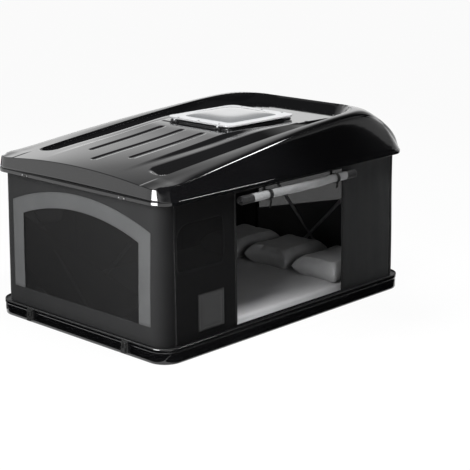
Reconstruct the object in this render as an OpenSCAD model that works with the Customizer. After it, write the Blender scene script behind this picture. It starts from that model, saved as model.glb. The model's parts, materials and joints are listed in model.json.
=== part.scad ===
// Roof top tent: a rigid tray, a moulded roof that lifts straight up on gas struts,
// fabric walls with mesh windows, two rolled-up doors and a hinged roof hatch.
// Millimetres. X runs from the low nose (-X) to the high tail (+X), Z is up.

/* [Shell outline] */
// Length of the shell
shell_l = 2100; // [2040:10:2300]
// Width of the shell
shell_w = 1450; // [1420:10:1560]
// Plan radius of the shell corners
corner_r = 120; // [114:1:130]

/* [Tray] */
// Height of the tray rim above the ground
tray_h = 88; // [86:1:96]
// Thickness of the tray laminate
tray_t = 5; // [4:0.5:7]
// Height of the bead along the tray rim
bead_h = 22; // [16:1:26]
// How far the bead stands proud of the tray side
bead_out = 3; // [2:0.5:4]
// Height of the soft seal on the tray rim
seal_h = 3.6; // [3:0.1:5]
// Width of the soft seal on the tray rim
seal_w = 5; // [4:0.5:6]

/* [Floor and mounting rails] */
// Height of a mounting rail
rail_h = 26; // [24:1:30]
// Width of a mounting rail
rail_w = 59; // [50:1:70]
// Distance of a mounting rail's ends from the shell's ends
rail_end = 210; // [170:5:300]
// Distance of each mounting rail from the shell's sides
rail_in = 325; // [285:5:365]
// Wall of a mounting rail
rail_wall = 4; // [3:0.5:5]
// Play between a mounting rail and its channel
rail_play = 0.5; // [0.3:0.1:1]
// Radius of the holes for the roof bar bolts
bolt_r = 4.25; // [4.25:0.5:5.25]
// Distance between the bolt holes along a rail
bolt_pitch = 1100; // [900:10:1300]
// Thickness of the floor panel
floor_t = 10; // [8:1:14]
// Gap between the floor panel and the tray side
floor_edge = 30; // [26:1:40]

/* [Bedding] */
// Distance of the mattress from the shell's ends
mattress_end_gap = 115; // [110:1:150]
// Distance of the mattress from the shell's sides
mattress_side_gap = 60; // [55:1:105]
// Thickness of the mattress
mattress_t = 76; // [60:1:84]
// Height of the mattress crown
mattress_crown = 8; // [4:1:12]
// How far the mattress sides draw in between the corners
mattress_draw = 7; // [4:1:12]
// How much shorter a pillow is than a third of the mattress's width
pillow_spare = 59; // [50:1:70]
// Depth of a pillow, along the tent
pillow_d = 480; // [440:10:490]
// Height of a pillow
pillow_h = 128; // [100:1:135]
// Distance of the pillows' middle from the mattress's end
pillow_in = 275; // [265:5:290]
// Gap between neighbouring pillows
pillow_gap = 20; // [15:5:30]
// How far the row of pillows sits towards the near door
pillow_shift = 75; // [60:5:80]

/* [Fabric walls] */
// Distance of the fabric inside the shell outline
wall_in = 36; // [34:1:40]
// Thickness of the fabric with its lining
fabric_t = 3; // [2:0.5:4]
// Height of the lower edge of the fabric
wall_z0 = 62; // [56:1:66]
// Height of the upper edge of the fabric
wall_z1 = 884; // [874:1:885]
// Gap between clamped or sewn pieces
sew_gap = 0.3; // [0.2:0.1:0.5]
// Height of the lower clamp rail above its lower edge
clamp_h = 14; // [10:1:18]
// Height of the lower edge of the lower clamp rail
clamp_z = 70; // [66:1:72]
// Depth of the vertical folds behind the doors
fold_d = 7; // [4:1:9]
// Number of folds behind each door
fold_n = 4; // [3:1:6]

/* [End windows] */
// Distance of the window opening from the shell's sides
window_side = 225; // [215:5:285]
// Height of the window sill
window_sill = 190; // [170:5:230]
// Height of the window where its sides end
window_shoulder = 650; // [600:5:660]
// Height of the window crown
window_crown = 738; // [700:1:745]
// Overlap of the mesh behind the wall
mesh_lap = 18; // [12:1:24]
// Thickness of the mesh
mesh_t = 1.5; // [1:0.25:2]
// Width of the trim band
trim_w = 92; // [70:1:96]
// How far the trim band laps over the opening
trim_lap = 10; // [6:1:14]
// Thickness of the trim band
trim_t = 2.5; // [2:0.5:4]

/* [Side windows, doors and pocket] */
// Distance of a side window's rear edge from the front corner
side_win_in = 368; // [356:1:380]
// Length of a side window
side_win_l = 352; // [320:1:356]
// Height of the side window sill
side_win_z0 = 490; // [460:1:520]
// Height of a side window
side_win_h = 254; // [220:1:280]
// Radius of the side window's upper front corner
side_win_r = 90; // [60:1:110]
// Radius of the side window's other corners
side_win_r2 = 25; // [15:1:35]
// Width of the wall between the side window and the door
door_post = 107; // [92:1:122]
// Length of the folded panel behind the door
rear_panel_l = 470; // [450:1:490]
// Height of the door sill
door_z0 = 94; // [92:1:110]
// Height of the top of the door opening
door_z1 = 846; // [840:1:850]
// Width of the zip tape
zip_w = 12; // [8:1:16]
// Thickness of the zip tape
zip_t = 2; // [1.5:0.5:3]
// Gap between the zip tape and the door opening
zip_edge = 4; // [2:1:8]
// Distance of the pocket in front of the side window's rear edge
pocket_gap = 3; // [0:1:20]
// Width of the pocket
pocket_w = 197; // [180:1:210]
// Height of the pocket's lower edge
pocket_z0 = 130; // [120:1:150]
// Height of the pocket
pocket_h = 203; // [180:1:220]
// Thickness of the pocket
pocket_t = 5; // [4:0.5:8]

/* [Doors] */
// Thickness of the closed far door
door_t = 2; // [1.5:0.5:3]
// How far the closed door laps behind the wall
door_lap = 10; // [6:1:14]
// Radius of the rolled near door
roll_r = 27; // [24:1:29]
// How far the rolled door reaches past the front of its opening
roll_front = 7; // [0:1:16]
// How far the rolled door reaches past the rear of its opening
roll_rear = 68; // [40:1:90]
// Height of the middle of the rolled door
roll_z = 812; // [806:1:812]
// Number of turns in the rolled door
roll_turns = 3; // [2:1:4]
// Share of each turn that is air
roll_air = 0.25; // [0.2:0.05:0.4]
// Width of a roll strap
strap_w = 24; // [18:1:30]
// Thickness of a roll strap
strap_t = 2; // [1.5:0.5:2.5]
// Distance of the front roll strap from the front of the opening
strap_front = 222; // [190:1:260]
// Distance of the rear roll strap from the rear of the opening
strap_rear = 107; // [80:1:140]

/* [Roof] */
// Height of the roof's lower lip
lip_z = 868; // [866:1:880]
// Height of the roof rim band
rim_h = 23; // [20:1:26]
// Width of the roof rim band
rim_w = 20; // [18:0.5:21]
// How far the rim band stands proud of the shell
rim_out = 3; // [2:0.5:4]
// Thickness of the roof laminate
roof_t = 5; // [4:0.5:6]
// Gap between the closed roof lip and the tray seal
close_gap = 0.4; // [0.3:0.1:1]
// Height of the shell above the rim at the nose
nose_h = 60; // [54:1:66]
// Height of the shell above the rim at its peak
peak_h = 252; // [246:1:258]
// Distance of the peak from the tail's end
peak_in = 170; // [160:5:180]
// Height of the shell above the rim at the tail's edge
tail_h = 12; // [8:1:20]
// Lean of the shell's ends, per unit of height
end_lean = 0.16; // [0.12:0.01:0.2]
// Lean of the shell's long sides at the nose, per unit of height
side_lean = 0.44; // [0.4:0.01:0.48]
// Lean of the shell's long sides behind the hatch, per unit of height
rear_lean = 0.6; // [0.56:0.01:0.64]
// Sharpness of the crease above the sides
crease_p = 16; // [12:1:20]
// Sharpness of the tail's corners
corner_p = 2.5; // [2.2:0.1:3]
// Fall of the band between the valley and the crease
band_fall = 13; // [10:1:15]
// Rise of the crown across the nose
nose_crown = 36; // [20:1:40]
// Depth of the valley round the middle panel
valley_d = 36; // [24:1:40]
// Distance of the valley's outer lip from the shell's side
valley_out = 190; // [186:1:196]
// Width of the valley beside the middle panel
valley_w = 145; // [138:1:150]
// Distance of the valley's tips from the nose
valley_nose = 175; // [170:1:180]
// Distance of the cross valley's middle from the tail
valley_tail = 175; // [172:1:180]
// Half width of the cross valley
cross_hw = 40; // [36:1:42]
// Plan radius of the valley's rear corners
valley_r = 240; // [225:5:250]
// Rise of the middle panel
panel_rise = 19; // [15:1:21]
// Half width of the middle panel
panel_hw = 312; // [304:1:316]
// Width of a stiffening groove
groove_w = 45; // [38:1:50]
// Depth of a stiffening groove
groove_d = 13; // [8:1:16]
// Distance between neighbouring grooves
groove_pitch = 167; // [155:1:175]
// Distance of the grooves in front of the hatch's middle
groove_gap = 402; // [390:1:415]
// Length of the middle groove
groove_l0 = 716; // [680:2:740]
// Length of an outer groove
groove_l1 = 588; // [540:2:620]

/* [Roof hatch] */
// Length of the hatch lid
lid_l = 590; // [580:2:600]
// Width of the hatch lid
lid_w = 536; // [520:2:540]
// Distance of the hatch lid's middle in front of the peak
lid_ahead = 662; // [656:1:668]
// Height of the lid's underside above the pad
lid_lift = 16; // [14:0.5:20]
// Thickness of the lid frame
lid_t = 10; // [8:0.5:12]
// Plan radius of the lid corners
lid_r = 55; // [40:1:60]
// Width of the lid's frame at its front and rear
lid_band_x = 80; // [75:1:95]
// Width of the lid's frame at its sides
lid_band_y = 68; // [65:1:78]
// Width of the ledge that carries the dome
ledge_w = 10; // [8:1:12]
// Thickness of the dome
dome_t = 3; // [2.5:0.5:3.5]
// Rise of the dome
dome_rise = 24; // [16:1:30]
// Distance of the roof opening's ends from the lid's ends
hole_in_x = 55; // [51:1:60]
// Distance of the roof opening's sides from the lid's sides
hole_in_y = 48; // [43:1:53]
// Height of the flat pad under the hatch above the roof rim
pad_h = 201; // [199:0.5:202]
// Gap around the lid in the pad's recess
pad_gap = 10; // [8:1:14]
// Width of the roof's ledge around the pad
pad_ledge = 8; // [6:1:10]
// Height of the hatch frame's flange
flange_h = 5; // [4:0.5:6]
// Width of the hatch frame's upstand
upstand_w = 8; // [6:1:10]
// Height of the hatch gasket
gasket_h = 4; // [3:0.5:5]
// Radius of the hinge pin
hatch_pin_r = 3; // [2.5:0.5:3.5]
// Radius of a hinge knuckle
knuckle_r = 6; // [5:0.5:7]
// Width of one hinge
hatch_hinge_w = 40; // [34:2:50]
// Distance of a hinge from the middle
hatch_hinge_y = 180; // [160:5:200]
// Radius of a lid screw
lid_screw_r = 6; // [4:0.5:8]
// Distance between the lid screws
lid_screw_pitch = 170; // [140:2:180]

/* [Gas struts] */
// Middle of the two strut planes, from the shell's end
strut_in = 75; // [74:0.5:77]
// Distance of each strut plane from that middle
strut_off = 12; // [11.5:0.25:13]
// Distance of a lower pivot past the middle line
low_y = 70; // [60:1:80]
// Height of a lower pivot
low_z = 150; // [144:1:156]
// Distance of an upper pivot from the shell's side
high_in = 125; // [123:1:135]
// Height of an upper pivot with the roof up
high_z = 835; // [834:1:838]
// Radius of a strut tube
tube_r = 10.5; // [9.5:0.25:11]
// Wall of a strut tube
tube_wall = 2; // [1.5:0.25:2.5]
// Length of a strut tube from its pivot
tube_l = 628; // [600:2:634]
// Length of the gland that closes a tube
gland_l = 24; // [18:1:30]
// Radius of a strut rod
rod_r = 5; // [4:0.25:6]
// Length of a piston
piston_l = 14; // [10:1:20]
// Distance between a piston and the gland with the roof up
piston_stop = 8; // [4:1:20]
// Radius of a strut eye
eye_r = 10; // [9:0.25:10.5]
// Width of a strut eye
eye_w = 14; // [12:0.5:16]
// Radius of a strut pivot pin
pivot_r = 5; // [4:0.25:6]
// Radial play of pins and pistons
run_play = 0.05; // [0.03:0.01:0.08]
// Thickness of the strut bracket plates
ear_t = 4; // [3:0.5:5]
// Distance of a bracket plate from its strut plane
ear_off = 13; // [12:0.25:13.5]
// Width of a bracket plate
ear_w = 34; // [28:1:36]
// Gap between an upper stud and its bracket plate
stud_gap = 0.4; // [0.3:0.1:0.8]
// Height of the bars that carry the upper brackets
bar_h = 8; // [6:1:14]
// How far those bars reach past the upper pivots
bar_reach = 60; // [56:1:62]

/* [Latches] */
// Distance of a latch from the shell's side
latch_in = 315; // [285:1:345]
// Width of a latch plate
latch_w = 48; // [44:1:54]
// Height of a latch pin
latch_pin_z = 70; // [68:1:72]
// Radius of a latch pin
latch_pin_r = 3; // [2.5:0.25:3.5]
// Distance of a latch pin from the tray side
latch_pin_u = 12; // [11.75:0.25:13]
// Length of a latch hook from its pin
hook_l = 56; // [50:1:58]
// Width of a latch hook
hook_w = 34; // [30:1:36]
// Thickness of a latch hook
hook_t = 4; // [3:0.5:5]
// Width of a latch keeper
keeper_w = 52; // [50:1:60]

/* [Hidden] */
$fn = 64;
SMOOTH = 300;

// Heights that follow from the sizes above
rim_z = lip_z + rim_h;
channel_z = rail_h;
floor_z0 = rail_h + tray_t;
floor_z1 = floor_z0 + floor_t;
travel = lip_z - tray_h - seal_h - close_gap;
upper_clamp_top = wall_z1 + 2;
half_l = shell_l / 2;
half_w = shell_w / 2;
wall_x = half_l - wall_in;
wall_y = half_w - wall_in;
corner_x = half_l - corner_r;
corner_y = half_w - corner_r;

// Places that follow from the shell outline
rail_l = shell_l - 2 * rail_end;
rail_y = half_w - rail_in;
mattress_l = shell_l - 2 * mattress_end_gap;
mattress_w = shell_w - 2 * mattress_side_gap;
pillow_w = mattress_w / 3 - pillow_spare;
pillow_x = mattress_l / 2 - pillow_in;
pillow_pitch = pillow_w + pillow_gap;
window_hw = half_w - window_side;
side_win_x1 = side_win_in - corner_x;
door_x0 = side_win_x1 + door_post;
door_x1 = corner_x - rear_panel_l;
pocket_x0 = side_win_x1 - pocket_gap - pocket_w;
roll_x0 = door_x0 - roll_front;
roll_l = door_x1 - door_x0 + roll_front + roll_rear;
strap_xs = [door_x0 + strap_front, door_x1 - strap_rear];
peak_x = half_l - peak_in;
valley_x0 = valley_nose - half_l;
tip_x = valley_x0 + valley_w / 2;
lip_y = half_w - valley_out;
valley_y = lip_y - valley_w / 2;
cross_x = half_l - valley_tail;
lid_x = peak_x - lid_ahead;
groove_x1 = lid_x - groove_gap;
strut_x = half_l - strut_in;
high_y = half_w - high_in;
latch_y = half_w - latch_in;

// Strut length and angle with the roof up
strut_run = low_y + high_y;
strut_rise = high_z - low_z;
strut_len = norm([strut_run, strut_rise]);
strut_angle = atan2(strut_rise, strut_run);

// Colours
gloss_black = [0.03, 0.03, 0.035];
wall_grey = [0.13, 0.13, 0.14];
trim_grey = [0.42, 0.43, 0.44];
roll_grey = [0.76, 0.77, 0.78];
steel_grey = [0.45, 0.46, 0.48];
aluminium_grey = [0.72, 0.73, 0.75];

// Numbers in rising order, without repeats
function sorted(v) = len(v) < 2 ? v :
    let (mid = v[floor(len(v) / 2)])
    concat(sorted([for (a = v) if (a < mid - 0.01) a]), [mid], sorted([for (a = v) if (a > mid + 0.01) a]));

function clamp01(t) = max(0, min(1, t));
function ease(a, b, x) = let (t = clamp01((x - a) / (b - a))) t * t * (3 - 2 * t);
function smooth_min(a, b, k) = let (h = max(k - abs(a - b), 0) / k) min(a, b) - h * h * k / 4;
function arc_radius(half_chord, rise) = (half_chord * half_chord + rise * rise) / (2 * rise);

// Depth of a point inside the shell outline, drawn in by inset
function depth_in(x, y, inset) =
    let (qx = abs(x) - corner_x, qy = abs(y) - corner_y)
    corner_r - inset - norm([max(qx, 0), max(qy, 0)]) - min(max(qx, qy), 0);

// Half length of the outline at a given distance from the middle line
function half_length_at(y, inset) =
    let (r = corner_r - inset, q = max(0, abs(y) - corner_y))
    corner_x + sqrt(max(0, r * r - q * q));

// Closed slab between an upper and a lower grid of nu by nv points, with one rectangular hole
module slab(upper, lower, nu, nv, hole = [0, 0, 0, 0]) {
    n = nu * nv;
    function at(i, j) = i * nv + j;
    function open(i, j) = i >= hole[0] && i < hole[1] && j >= hole[2] && j < hole[3];
    function inside(i, j) = i >= 0 && j >= 0 && i < nu - 1 && j < nv - 1 && !open(i, j);
    function side(p, q) = [[p, q, q + n], [p, q + n, p + n]];
    cells = [for (i = [0 : nu - 2]) for (j = [0 : nv - 2]) if (!open(i, j)) [i, j]];
    top_faces = [for (c = cells) let (a = at(c[0], c[1]), b = at(c[0] + 1, c[1]))
        each [[a, a + 1, b + 1], [a, b + 1, b]]];
    low_faces = [for (f = top_faces) [f[2] + n, f[1] + n, f[0] + n]];
    edge_faces = [for (c = cells) let (i = c[0], j = c[1]) each concat(
        inside(i - 1, j) ? [] : side(at(i, j + 1), at(i, j)),
        inside(i + 1, j) ? [] : side(at(i + 1, j), at(i + 1, j + 1)),
        inside(i, j - 1) ? [] : side(at(i, j), at(i + 1, j)),
        inside(i, j + 1) ? [] : side(at(i + 1, j + 1), at(i, j + 1)))];
    polyhedron(points = concat(upper, lower), faces = concat(top_faces, low_faces, edge_faces), convexity = 8);
}

// Rounded rectangle with true arcs
module round_rect(l, w, r) {
    square([l - 2 * r, w], center = true);
    square([l, w - 2 * r], center = true);
    for (sx = [-1, 1], sy = [-1, 1]) {
        translate([sx * (l / 2 - r), sy * (w / 2 - r)])
            circle(r);
    }
}

module plan(inset) {
    round_rect(shell_l - 2 * inset, shell_w - 2 * inset, corner_r - inset);
}

// Band that follows the shell outline between two insets
module ring(outer, inner, z0, z1) {
    translate([0, 0, z0])
        linear_extrude(z1 - z0)
            difference() {
                plan(outer);
                plan(inner);
            }
}

module block(x0, x1, y0, y1, z0, z1) {
    translate([x0, y0, z0])
        cube([x1 - x0, y1 - y0, z1 - z0]);
}

// Cylinder along X or Y, from a to b
module rod_x(r, a, b) {
    translate([a, 0, 0])
        rotate([0, 90, 0])
            cylinder(h = b - a, r = r);
}

module rod_y(r, a, b) {
    translate([0, a, 0])
        rotate([-90, 0, 0])
            cylinder(h = b - a, r = r);
}

// Copies for the two ends and the two sides
module at_end(e) {
    mirror([e < 0 ? 1 : 0, 0, 0])
        children();
}

module at_side(s) {
    mirror([0, s < 0 ? 1 : 0, 0])
        children();
}

// Tray, floor and mounting rails

module rail_channels(w, l, h) {
    for (s = [-1, 1]) {
        block(-l / 2, l / 2, s * rail_y - w / 2, s * rail_y + w / 2, 0, h);
    }
}

module base_tray() {
    channel_w = rail_w + 2 * rail_play;
    channel_l = rail_l + 2 * rail_play;
    color(gloss_black)
        difference() {
            union() {
                ring(bead_out, bead_out + tray_t, 0, tray_h);
                ring(0, bead_out + tray_t, tray_h - bead_h, tray_h);
                linear_extrude(tray_t)
                    plan(bead_out + tray_t / 2);
                rail_channels(channel_w + 2 * tray_t, channel_l + 2 * tray_t, floor_z0);
            }
            translate([0, 0, -1])
                rail_channels(channel_w, channel_l, channel_z + 1);
        }
}

module tray_rim_seal() {
    color([0.06, 0.06, 0.06])
        ring(1.5, 1.5 + seal_w, tray_h, tray_h + seal_h);
}

module mount_rail(s) {
    color(aluminium_grey)
        difference() {
            block(-rail_l / 2, rail_l / 2, s * rail_y - rail_w / 2, s * rail_y + rail_w / 2, 0, rail_h);
            block(-rail_l / 2 - 1, rail_l / 2 + 1, s * rail_y - rail_w / 2 + rail_wall,
                  s * rail_y + rail_w / 2 - rail_wall, rail_wall, rail_h - rail_wall);
            for (e = [-1, 1]) {
                translate([e * bolt_pitch / 2, s * rail_y, -1])
                    cylinder(h = rail_wall + 2, r = bolt_r);
            }
        }
}

module mount_rail_near() {
    mount_rail(-1);
}

module mount_rail_far() {
    mount_rail(1);
}

// Low heads of the bolts that hold the floor panel down over the rails
bolt_head_h = 2.5;

module rail_bolts() {
    head_r = 9;
    color(steel_grey)
        for (s = [-1, 1], e = [-3 : 2 : 3]) {
            translate([e * rail_l / 8, s * rail_y, floor_z1])
                cylinder(h = bolt_head_h, r = head_r);
        }
}

module floor_panel() {
    color([0.5, 0.42, 0.3])
        translate([0, 0, floor_z0])
            linear_extrude(floor_t)
                plan(bead_out + tray_t + floor_edge);
}

module lower_clamp_rail() {
    color(aluminium_grey)
        ring(bead_out + tray_t + sew_gap, wall_in - sew_gap, clamp_z, clamp_z + clamp_h);
}

// Bedding

// Cushion with a crowned top, rounded edges and sides drawn in between the corners
module cushion(l, w, base_z, t, crown, draw, edge_r, nu, nv) {
    us = [for (i = [0 : nu]) sin(90 * (2 * i / nu - 1))];
    vs = [for (j = [0 : nv]) sin(90 * (2 * j / nv - 1))];
    function px(u, v) = u * (l / 2 - draw * (1 - v * v));
    function py(u, v) = v * (w / 2 - draw * (1 - u * u));
    function edge(u, v) =
        let (d = min(l / 2 * (1 - abs(u)), w / 2 * (1 - abs(v))), q = clamp01(1 - d / edge_r))
        sqrt(1 - q * q);
    function top(u, v) = base_z + t * (0.4 + 0.6 * edge(u, v)) + crown * (1 - u * u) * (1 - v * v);
    upper = [for (u = us) for (v = vs) [px(u, v), py(u, v), top(u, v)]];
    lower = [for (u = us) for (v = vs) [px(u, v), py(u, v), base_z]];
    slab(upper, lower, nu + 1, nv + 1);
}

module mattress() {
    color([0.35, 0.35, 0.36])
        translate([0, 0, floor_z1 + bolt_head_h + sew_gap])
            cushion(mattress_l, mattress_w, 0, mattress_t - mattress_crown, mattress_crown, mattress_draw,
                    34, 24, 20);
}

// Pillow: full in the middle, thin along its seam, with pointed corners
module pillow(nu = 14, nv = 16) {
    seam_t = 10;
    seam_share = 0.3;
    draw = 26;
    us = [for (i = [0 : nu]) sin(90 * (2 * i / nu - 1))];
    vs = [for (j = [0 : nv]) sin(90 * (2 * j / nv - 1))];
    function px(u, v) = u * (pillow_d / 2 - draw * (1 - v * v));
    function py(u, v) = v * (pillow_w / 2 - draw * (1 - u * u));
    function body(u, v) = pow(max(0, (1 - pow(abs(u), 2.6)) * (1 - pow(abs(v), 3.2))), 0.55);
    full = pillow_h - seam_t;
    upper = [for (u = us) for (v = vs)
        [px(u, v), py(u, v), full * seam_share + seam_t + full * (1 - seam_share) * body(u, v)]];
    lower = [for (u = us) for (v = vs)
        [px(u, v), py(u, v), full * seam_share * (1 - pow(body(u, v), 0.35))]];
    color([0.24, 0.24, 0.25])
        slab(upper, lower, nu + 1, nv + 1);
}

// A pillow lies where the mattress's crown has fallen away a little
module place_pillow(s) {
    mattress_top = floor_z1 + bolt_head_h + sew_gap + mattress_t;
    y = s * pillow_pitch - pillow_shift;
    u = (pillow_x - pillow_d / 6) / (mattress_l / 2);
    v = max(0, abs(y) - pillow_w / 6) / (mattress_w / 2);
    outer_settle = 0.7;
    fall = mattress_crown * (1 - (1 - u * u) * (1 - v * v)) + outer_settle * abs(s);
    translate([pillow_x, y, mattress_top + sew_gap - fall])
        pillow();
}

module pillow_near() {
    place_pillow(-1);
}

module pillow_middle() {
    place_pillow(0);
}

module pillow_far() {
    place_pillow(1);
}

// Fabric walls

// Arched outline in the plane of an end wall
module arch(hw, sill, shoulder, crown) {
    r = arc_radius(hw, crown - shoulder);
    intersection() {
        translate([-hw, sill])
            square([2 * hw, crown - sill]);
        translate([0, crown - r])
            circle(r, $fn = SMOOTH);
    }
}

// Solid of an arched outline between two distances from the middle, at the front end
module arch_solid(x0, x1) {
    translate([x0, 0, 0])
        rotate([90, 0, 90])
            linear_extrude(x1 - x0)
                children();
}

module end_wall(e) {
    color(wall_grey)
        at_end(e)
            difference() {
                intersection() {
                    ring(wall_in, wall_in + fabric_t, wall_z0, wall_z1);
                    block(corner_x, half_l, -half_w, half_w, 0, rim_z);
                }
                arch_solid(wall_x - 40, wall_x + 40)
                    arch(window_hw, window_sill, window_shoulder, window_crown);
            }
}

module end_mesh(e) {
    color([0.05, 0.05, 0.055])
        at_end(e)
            arch_solid(wall_x - fabric_t - mesh_t, wall_x - fabric_t)
                arch(window_hw + mesh_lap, window_sill - mesh_lap, window_shoulder + mesh_lap,
                     window_crown + mesh_lap);
}

module end_trim(e) {
    inner = window_hw - trim_lap;
    outer = inner + trim_w;
    rise = trim_w - trim_lap;
    color(trim_grey)
        at_end(e)
            arch_solid(wall_x, wall_x + trim_t)
                difference() {
                    arch(outer, window_sill, window_shoulder + rise * 0.7, window_crown + rise);
                    translate([0, -trim_lap])
                        arch(inner, window_sill, window_shoulder, window_crown);
                    translate([-inner, window_sill - 1])
                        square([2 * inner, trim_lap + 2]);
                }
}

module front_wall() {
    end_wall(-1);
}

module rear_wall() {
    end_wall(1);
}

module front_window_mesh() {
    end_mesh(-1);
}

module rear_window_mesh() {
    end_mesh(1);
}

module front_window_trim() {
    end_trim(-1);
}

module rear_window_trim() {
    end_trim(1);
}

// Square corner of radius r less its quarter circle, for rounding a rectangle
module corner_cut(x, z, sx, sz, r) {
    translate([x, z])
        mirror([sx < 0 ? 1 : 0, 0])
            mirror([0, sz < 0 ? 1 : 0])
                difference() {
                    translate([-1, -1])
                        square(r + 1);
                    translate([r, r])
                        circle(r);
                }
}

module side_window(lap) {
    x0 = side_win_x1 - side_win_l - lap;
    x1 = side_win_x1 + lap;
    z0 = side_win_z0 - lap;
    z1 = side_win_z0 + side_win_h + lap;
    difference() {
        translate([x0, z0])
            square([x1 - x0, z1 - z0]);
        corner_cut(x0, z1, 1, -1, side_win_r);
        corner_cut(x0, z0, 1, 1, side_win_r2);
        corner_cut(x1, z1, -1, -1, side_win_r2);
        corner_cut(x1, z0, -1, 1, side_win_r2);
    }
}

// Solid of an outline in the plane of a long wall, from d0 to d1 outside the wall's face
module wall_solid(s, d0, d1) {
    at_side(s)
        translate([0, wall_y + d1, 0])
            rotate([90, 0, 0])
                linear_extrude(d1 - d0)
                    children();
}

module side_wall(s) {
    color(wall_grey)
        wall_solid(s, -fabric_t, 0)
            difference() {
                translate([-corner_x, wall_z0])
                    square([corner_x + door_x1, wall_z1 - wall_z0]);
                translate([door_x0, door_z0])
                    square([door_x1 - door_x0 + 1, door_z1 - door_z0]);
                side_window(0);
            }
}

// Cloth behind the door, hanging in soft upright folds
module folded_panel(s, nu = 30, nv = 8) {
    flat_x = 36;
    x0 = door_x1;
    x1 = corner_x;
    function fold(x, z) =
        let (edge = ease(x0 + flat_x, x0 + 3 * flat_x, x) * (1 - ease(x1 - 2 * flat_x, x1, x)),
             level = ease(wall_z0 + 20, wall_z0 + 220, z) * (1 - ease(wall_z1 - 160, wall_z1 - 10, z)),
             turn = (x - x0) / (x1 - x0) + 0.06 * (z - wall_z0) / (wall_z1 - wall_z0))
        fold_d * edge * level * (cos(360 * fold_n * turn) - 1) / 2;
    spots = [for (i = [0 : nu]) for (j = [0 : nv])
        [x0 + (x1 - x0) * i / nu, wall_z0 + (wall_z1 - wall_z0) * j / nv]];
    outer = [for (p = spots) [p[0], wall_y + fold(p[0], p[1]), p[1]]];
    inner = [for (p = outer) [p[0], p[1] - fabric_t, p[2]]];
    color(wall_grey)
        at_side(s)
            slab(inner, outer, nu + 1, nv + 1);
}

module near_wall() {
    side_wall(-1);
}

module far_wall() {
    side_wall(1);
}

module near_rear_panel() {
    folded_panel(-1);
}

module far_rear_panel() {
    folded_panel(1);
}

module side_mesh(s) {
    color([0.05, 0.05, 0.055])
        wall_solid(s, -fabric_t - mesh_t, -fabric_t)
            side_window(min(mesh_lap, side_win_x1 - side_win_l + corner_x));
}

module near_window_mesh() {
    side_mesh(-1);
}

module far_window_mesh() {
    side_mesh(1);
}

module door_zips() {
    color([0.07, 0.07, 0.07])
        for (s = [-1, 1]) {
            wall_solid(s, 0, zip_t) {
                translate([door_x0 - zip_edge - zip_w, door_z0])
                    square([zip_w, door_z1 + zip_edge + zip_w - door_z0]);
                translate([door_x0 - zip_edge - zip_w, door_z1 + zip_edge])
                    square([door_x1 - door_x0 + zip_edge + zip_w, zip_w]);
                translate([door_x1 + zip_edge, door_z0])
                    square([zip_w, door_z1 + zip_edge - door_z0]);
            }
        }
}

module side_pocket() {
    pocket_r = 10;
    color([0.2, 0.2, 0.21])
        wall_solid(-1, 0, pocket_t)
            translate([pocket_x0 + pocket_w / 2, pocket_z0 + pocket_h / 2])
                round_rect(pocket_w, pocket_h, pocket_r);
}

// Doors

// Closed door on the far side, lapped behind its wall
module far_door() {
    color(wall_grey)
        wall_solid(1, -fabric_t - door_t, -fabric_t)
            translate([door_x0 - door_lap, door_z0 - door_lap])
                square([door_x1 - door_x0 + 2 * door_lap, door_z1 - door_z0 + 2 * door_lap]);
}

roll_y = wall_y + strap_t + 2 * sew_gap + roll_r;

// Section of a rolled sheet: a spiral band with air between its turns
module spiral_band() {
    steps = 28;
    core_r = 5;
    pitch = (roll_r - core_r) / (roll_turns + 1);
    sheet = pitch * (1 - roll_air);
    function spiral(a, d) = let (r = core_r + pitch * a / 360 + d) [r * cos(a), r * sin(a)];
    angles = [for (i = [0 : steps * roll_turns]) 360 * i / steps];
    last = len(angles) - 1;
    outer = [for (a = angles) spiral(a, pitch)];
    inner = [for (i = [last : -1 : 0]) spiral(angles[i], pitch - sheet)];
    polygon(concat(outer, inner));
}

module near_door_roll() {
    color(roll_grey)
        at_side(-1)
            translate([roll_x0, roll_y, roll_z])
                rotate([90, 0, 90])
                    linear_extrude(roll_l)
                        rotate(90)
                            spiral_band();
}

module roll_straps() {
    color([0.08, 0.08, 0.08])
        for (x = strap_xs) {
            at_side(-1)
                translate([x - strap_w / 2, roll_y, roll_z])
                    rotate([90, 0, 90])
                        linear_extrude(strap_w) {
                            difference() {
                                circle(roll_r + sew_gap + strap_t);
                                circle(roll_r + sew_gap);
                            }
                            translate([wall_y + zip_t + sew_gap - roll_y, 0])
                                square([strap_t, door_z1 + zip_edge + zip_w + 2 - roll_z]);
                        }
        }
}

// Roof shell

function ridge(x) = x < peak_x ?
    peak_h - (peak_h - nose_h) * pow((peak_x - x) / (peak_x + half_l), 1.48) :
    peak_h - (peak_h - tail_h) * pow((x - peak_x) / (half_l - peak_x), 2.5);

function crown_at(x, y) =
    nose_crown * (1 - ease(-half_l, lid_x - 468, x)) * clamp01(1 - y * y / (corner_y * corner_y));

// The valley runs back along both sides of the middle panel and crosses behind it
function valley_half(x) = valley_w / 2 - (valley_w / 2 - cross_hw) * ease(lid_x + 230, lid_x + 580, x);

// Distance from the valley's middle line, less than nothing towards the panel
function valley_side(x, y) =
    let (qx = x - cross_x + valley_r, qy = abs(y) - valley_y + valley_r)
    norm([max(qx, 0), max(qy, 0)]) + min(max(qx, qy), 0) - valley_r;

function valley_at(x, y) =
    let (d = valley_side(x, y), t = norm([min(x - tip_x, 0), d]) / valley_half(x))
    t < 1 ? valley_d * pow(1 - t * t, 0.6) : 0;

function panel_at(x, y) =
    panel_rise * ease(valley_x0 + 135, valley_x0 + 435, x) * (1 - ease(panel_hw - 20, panel_hw + 8, abs(y)));

function groove_at(x, y, middle, length) =
    let (r = groove_w / 2,
         x0 = groove_x1 - length,
         d = r - norm([x - max(x0 + r, min(groove_x1 - r, x)), y - middle]))
    groove_d * ease(0, 12, d);

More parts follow.
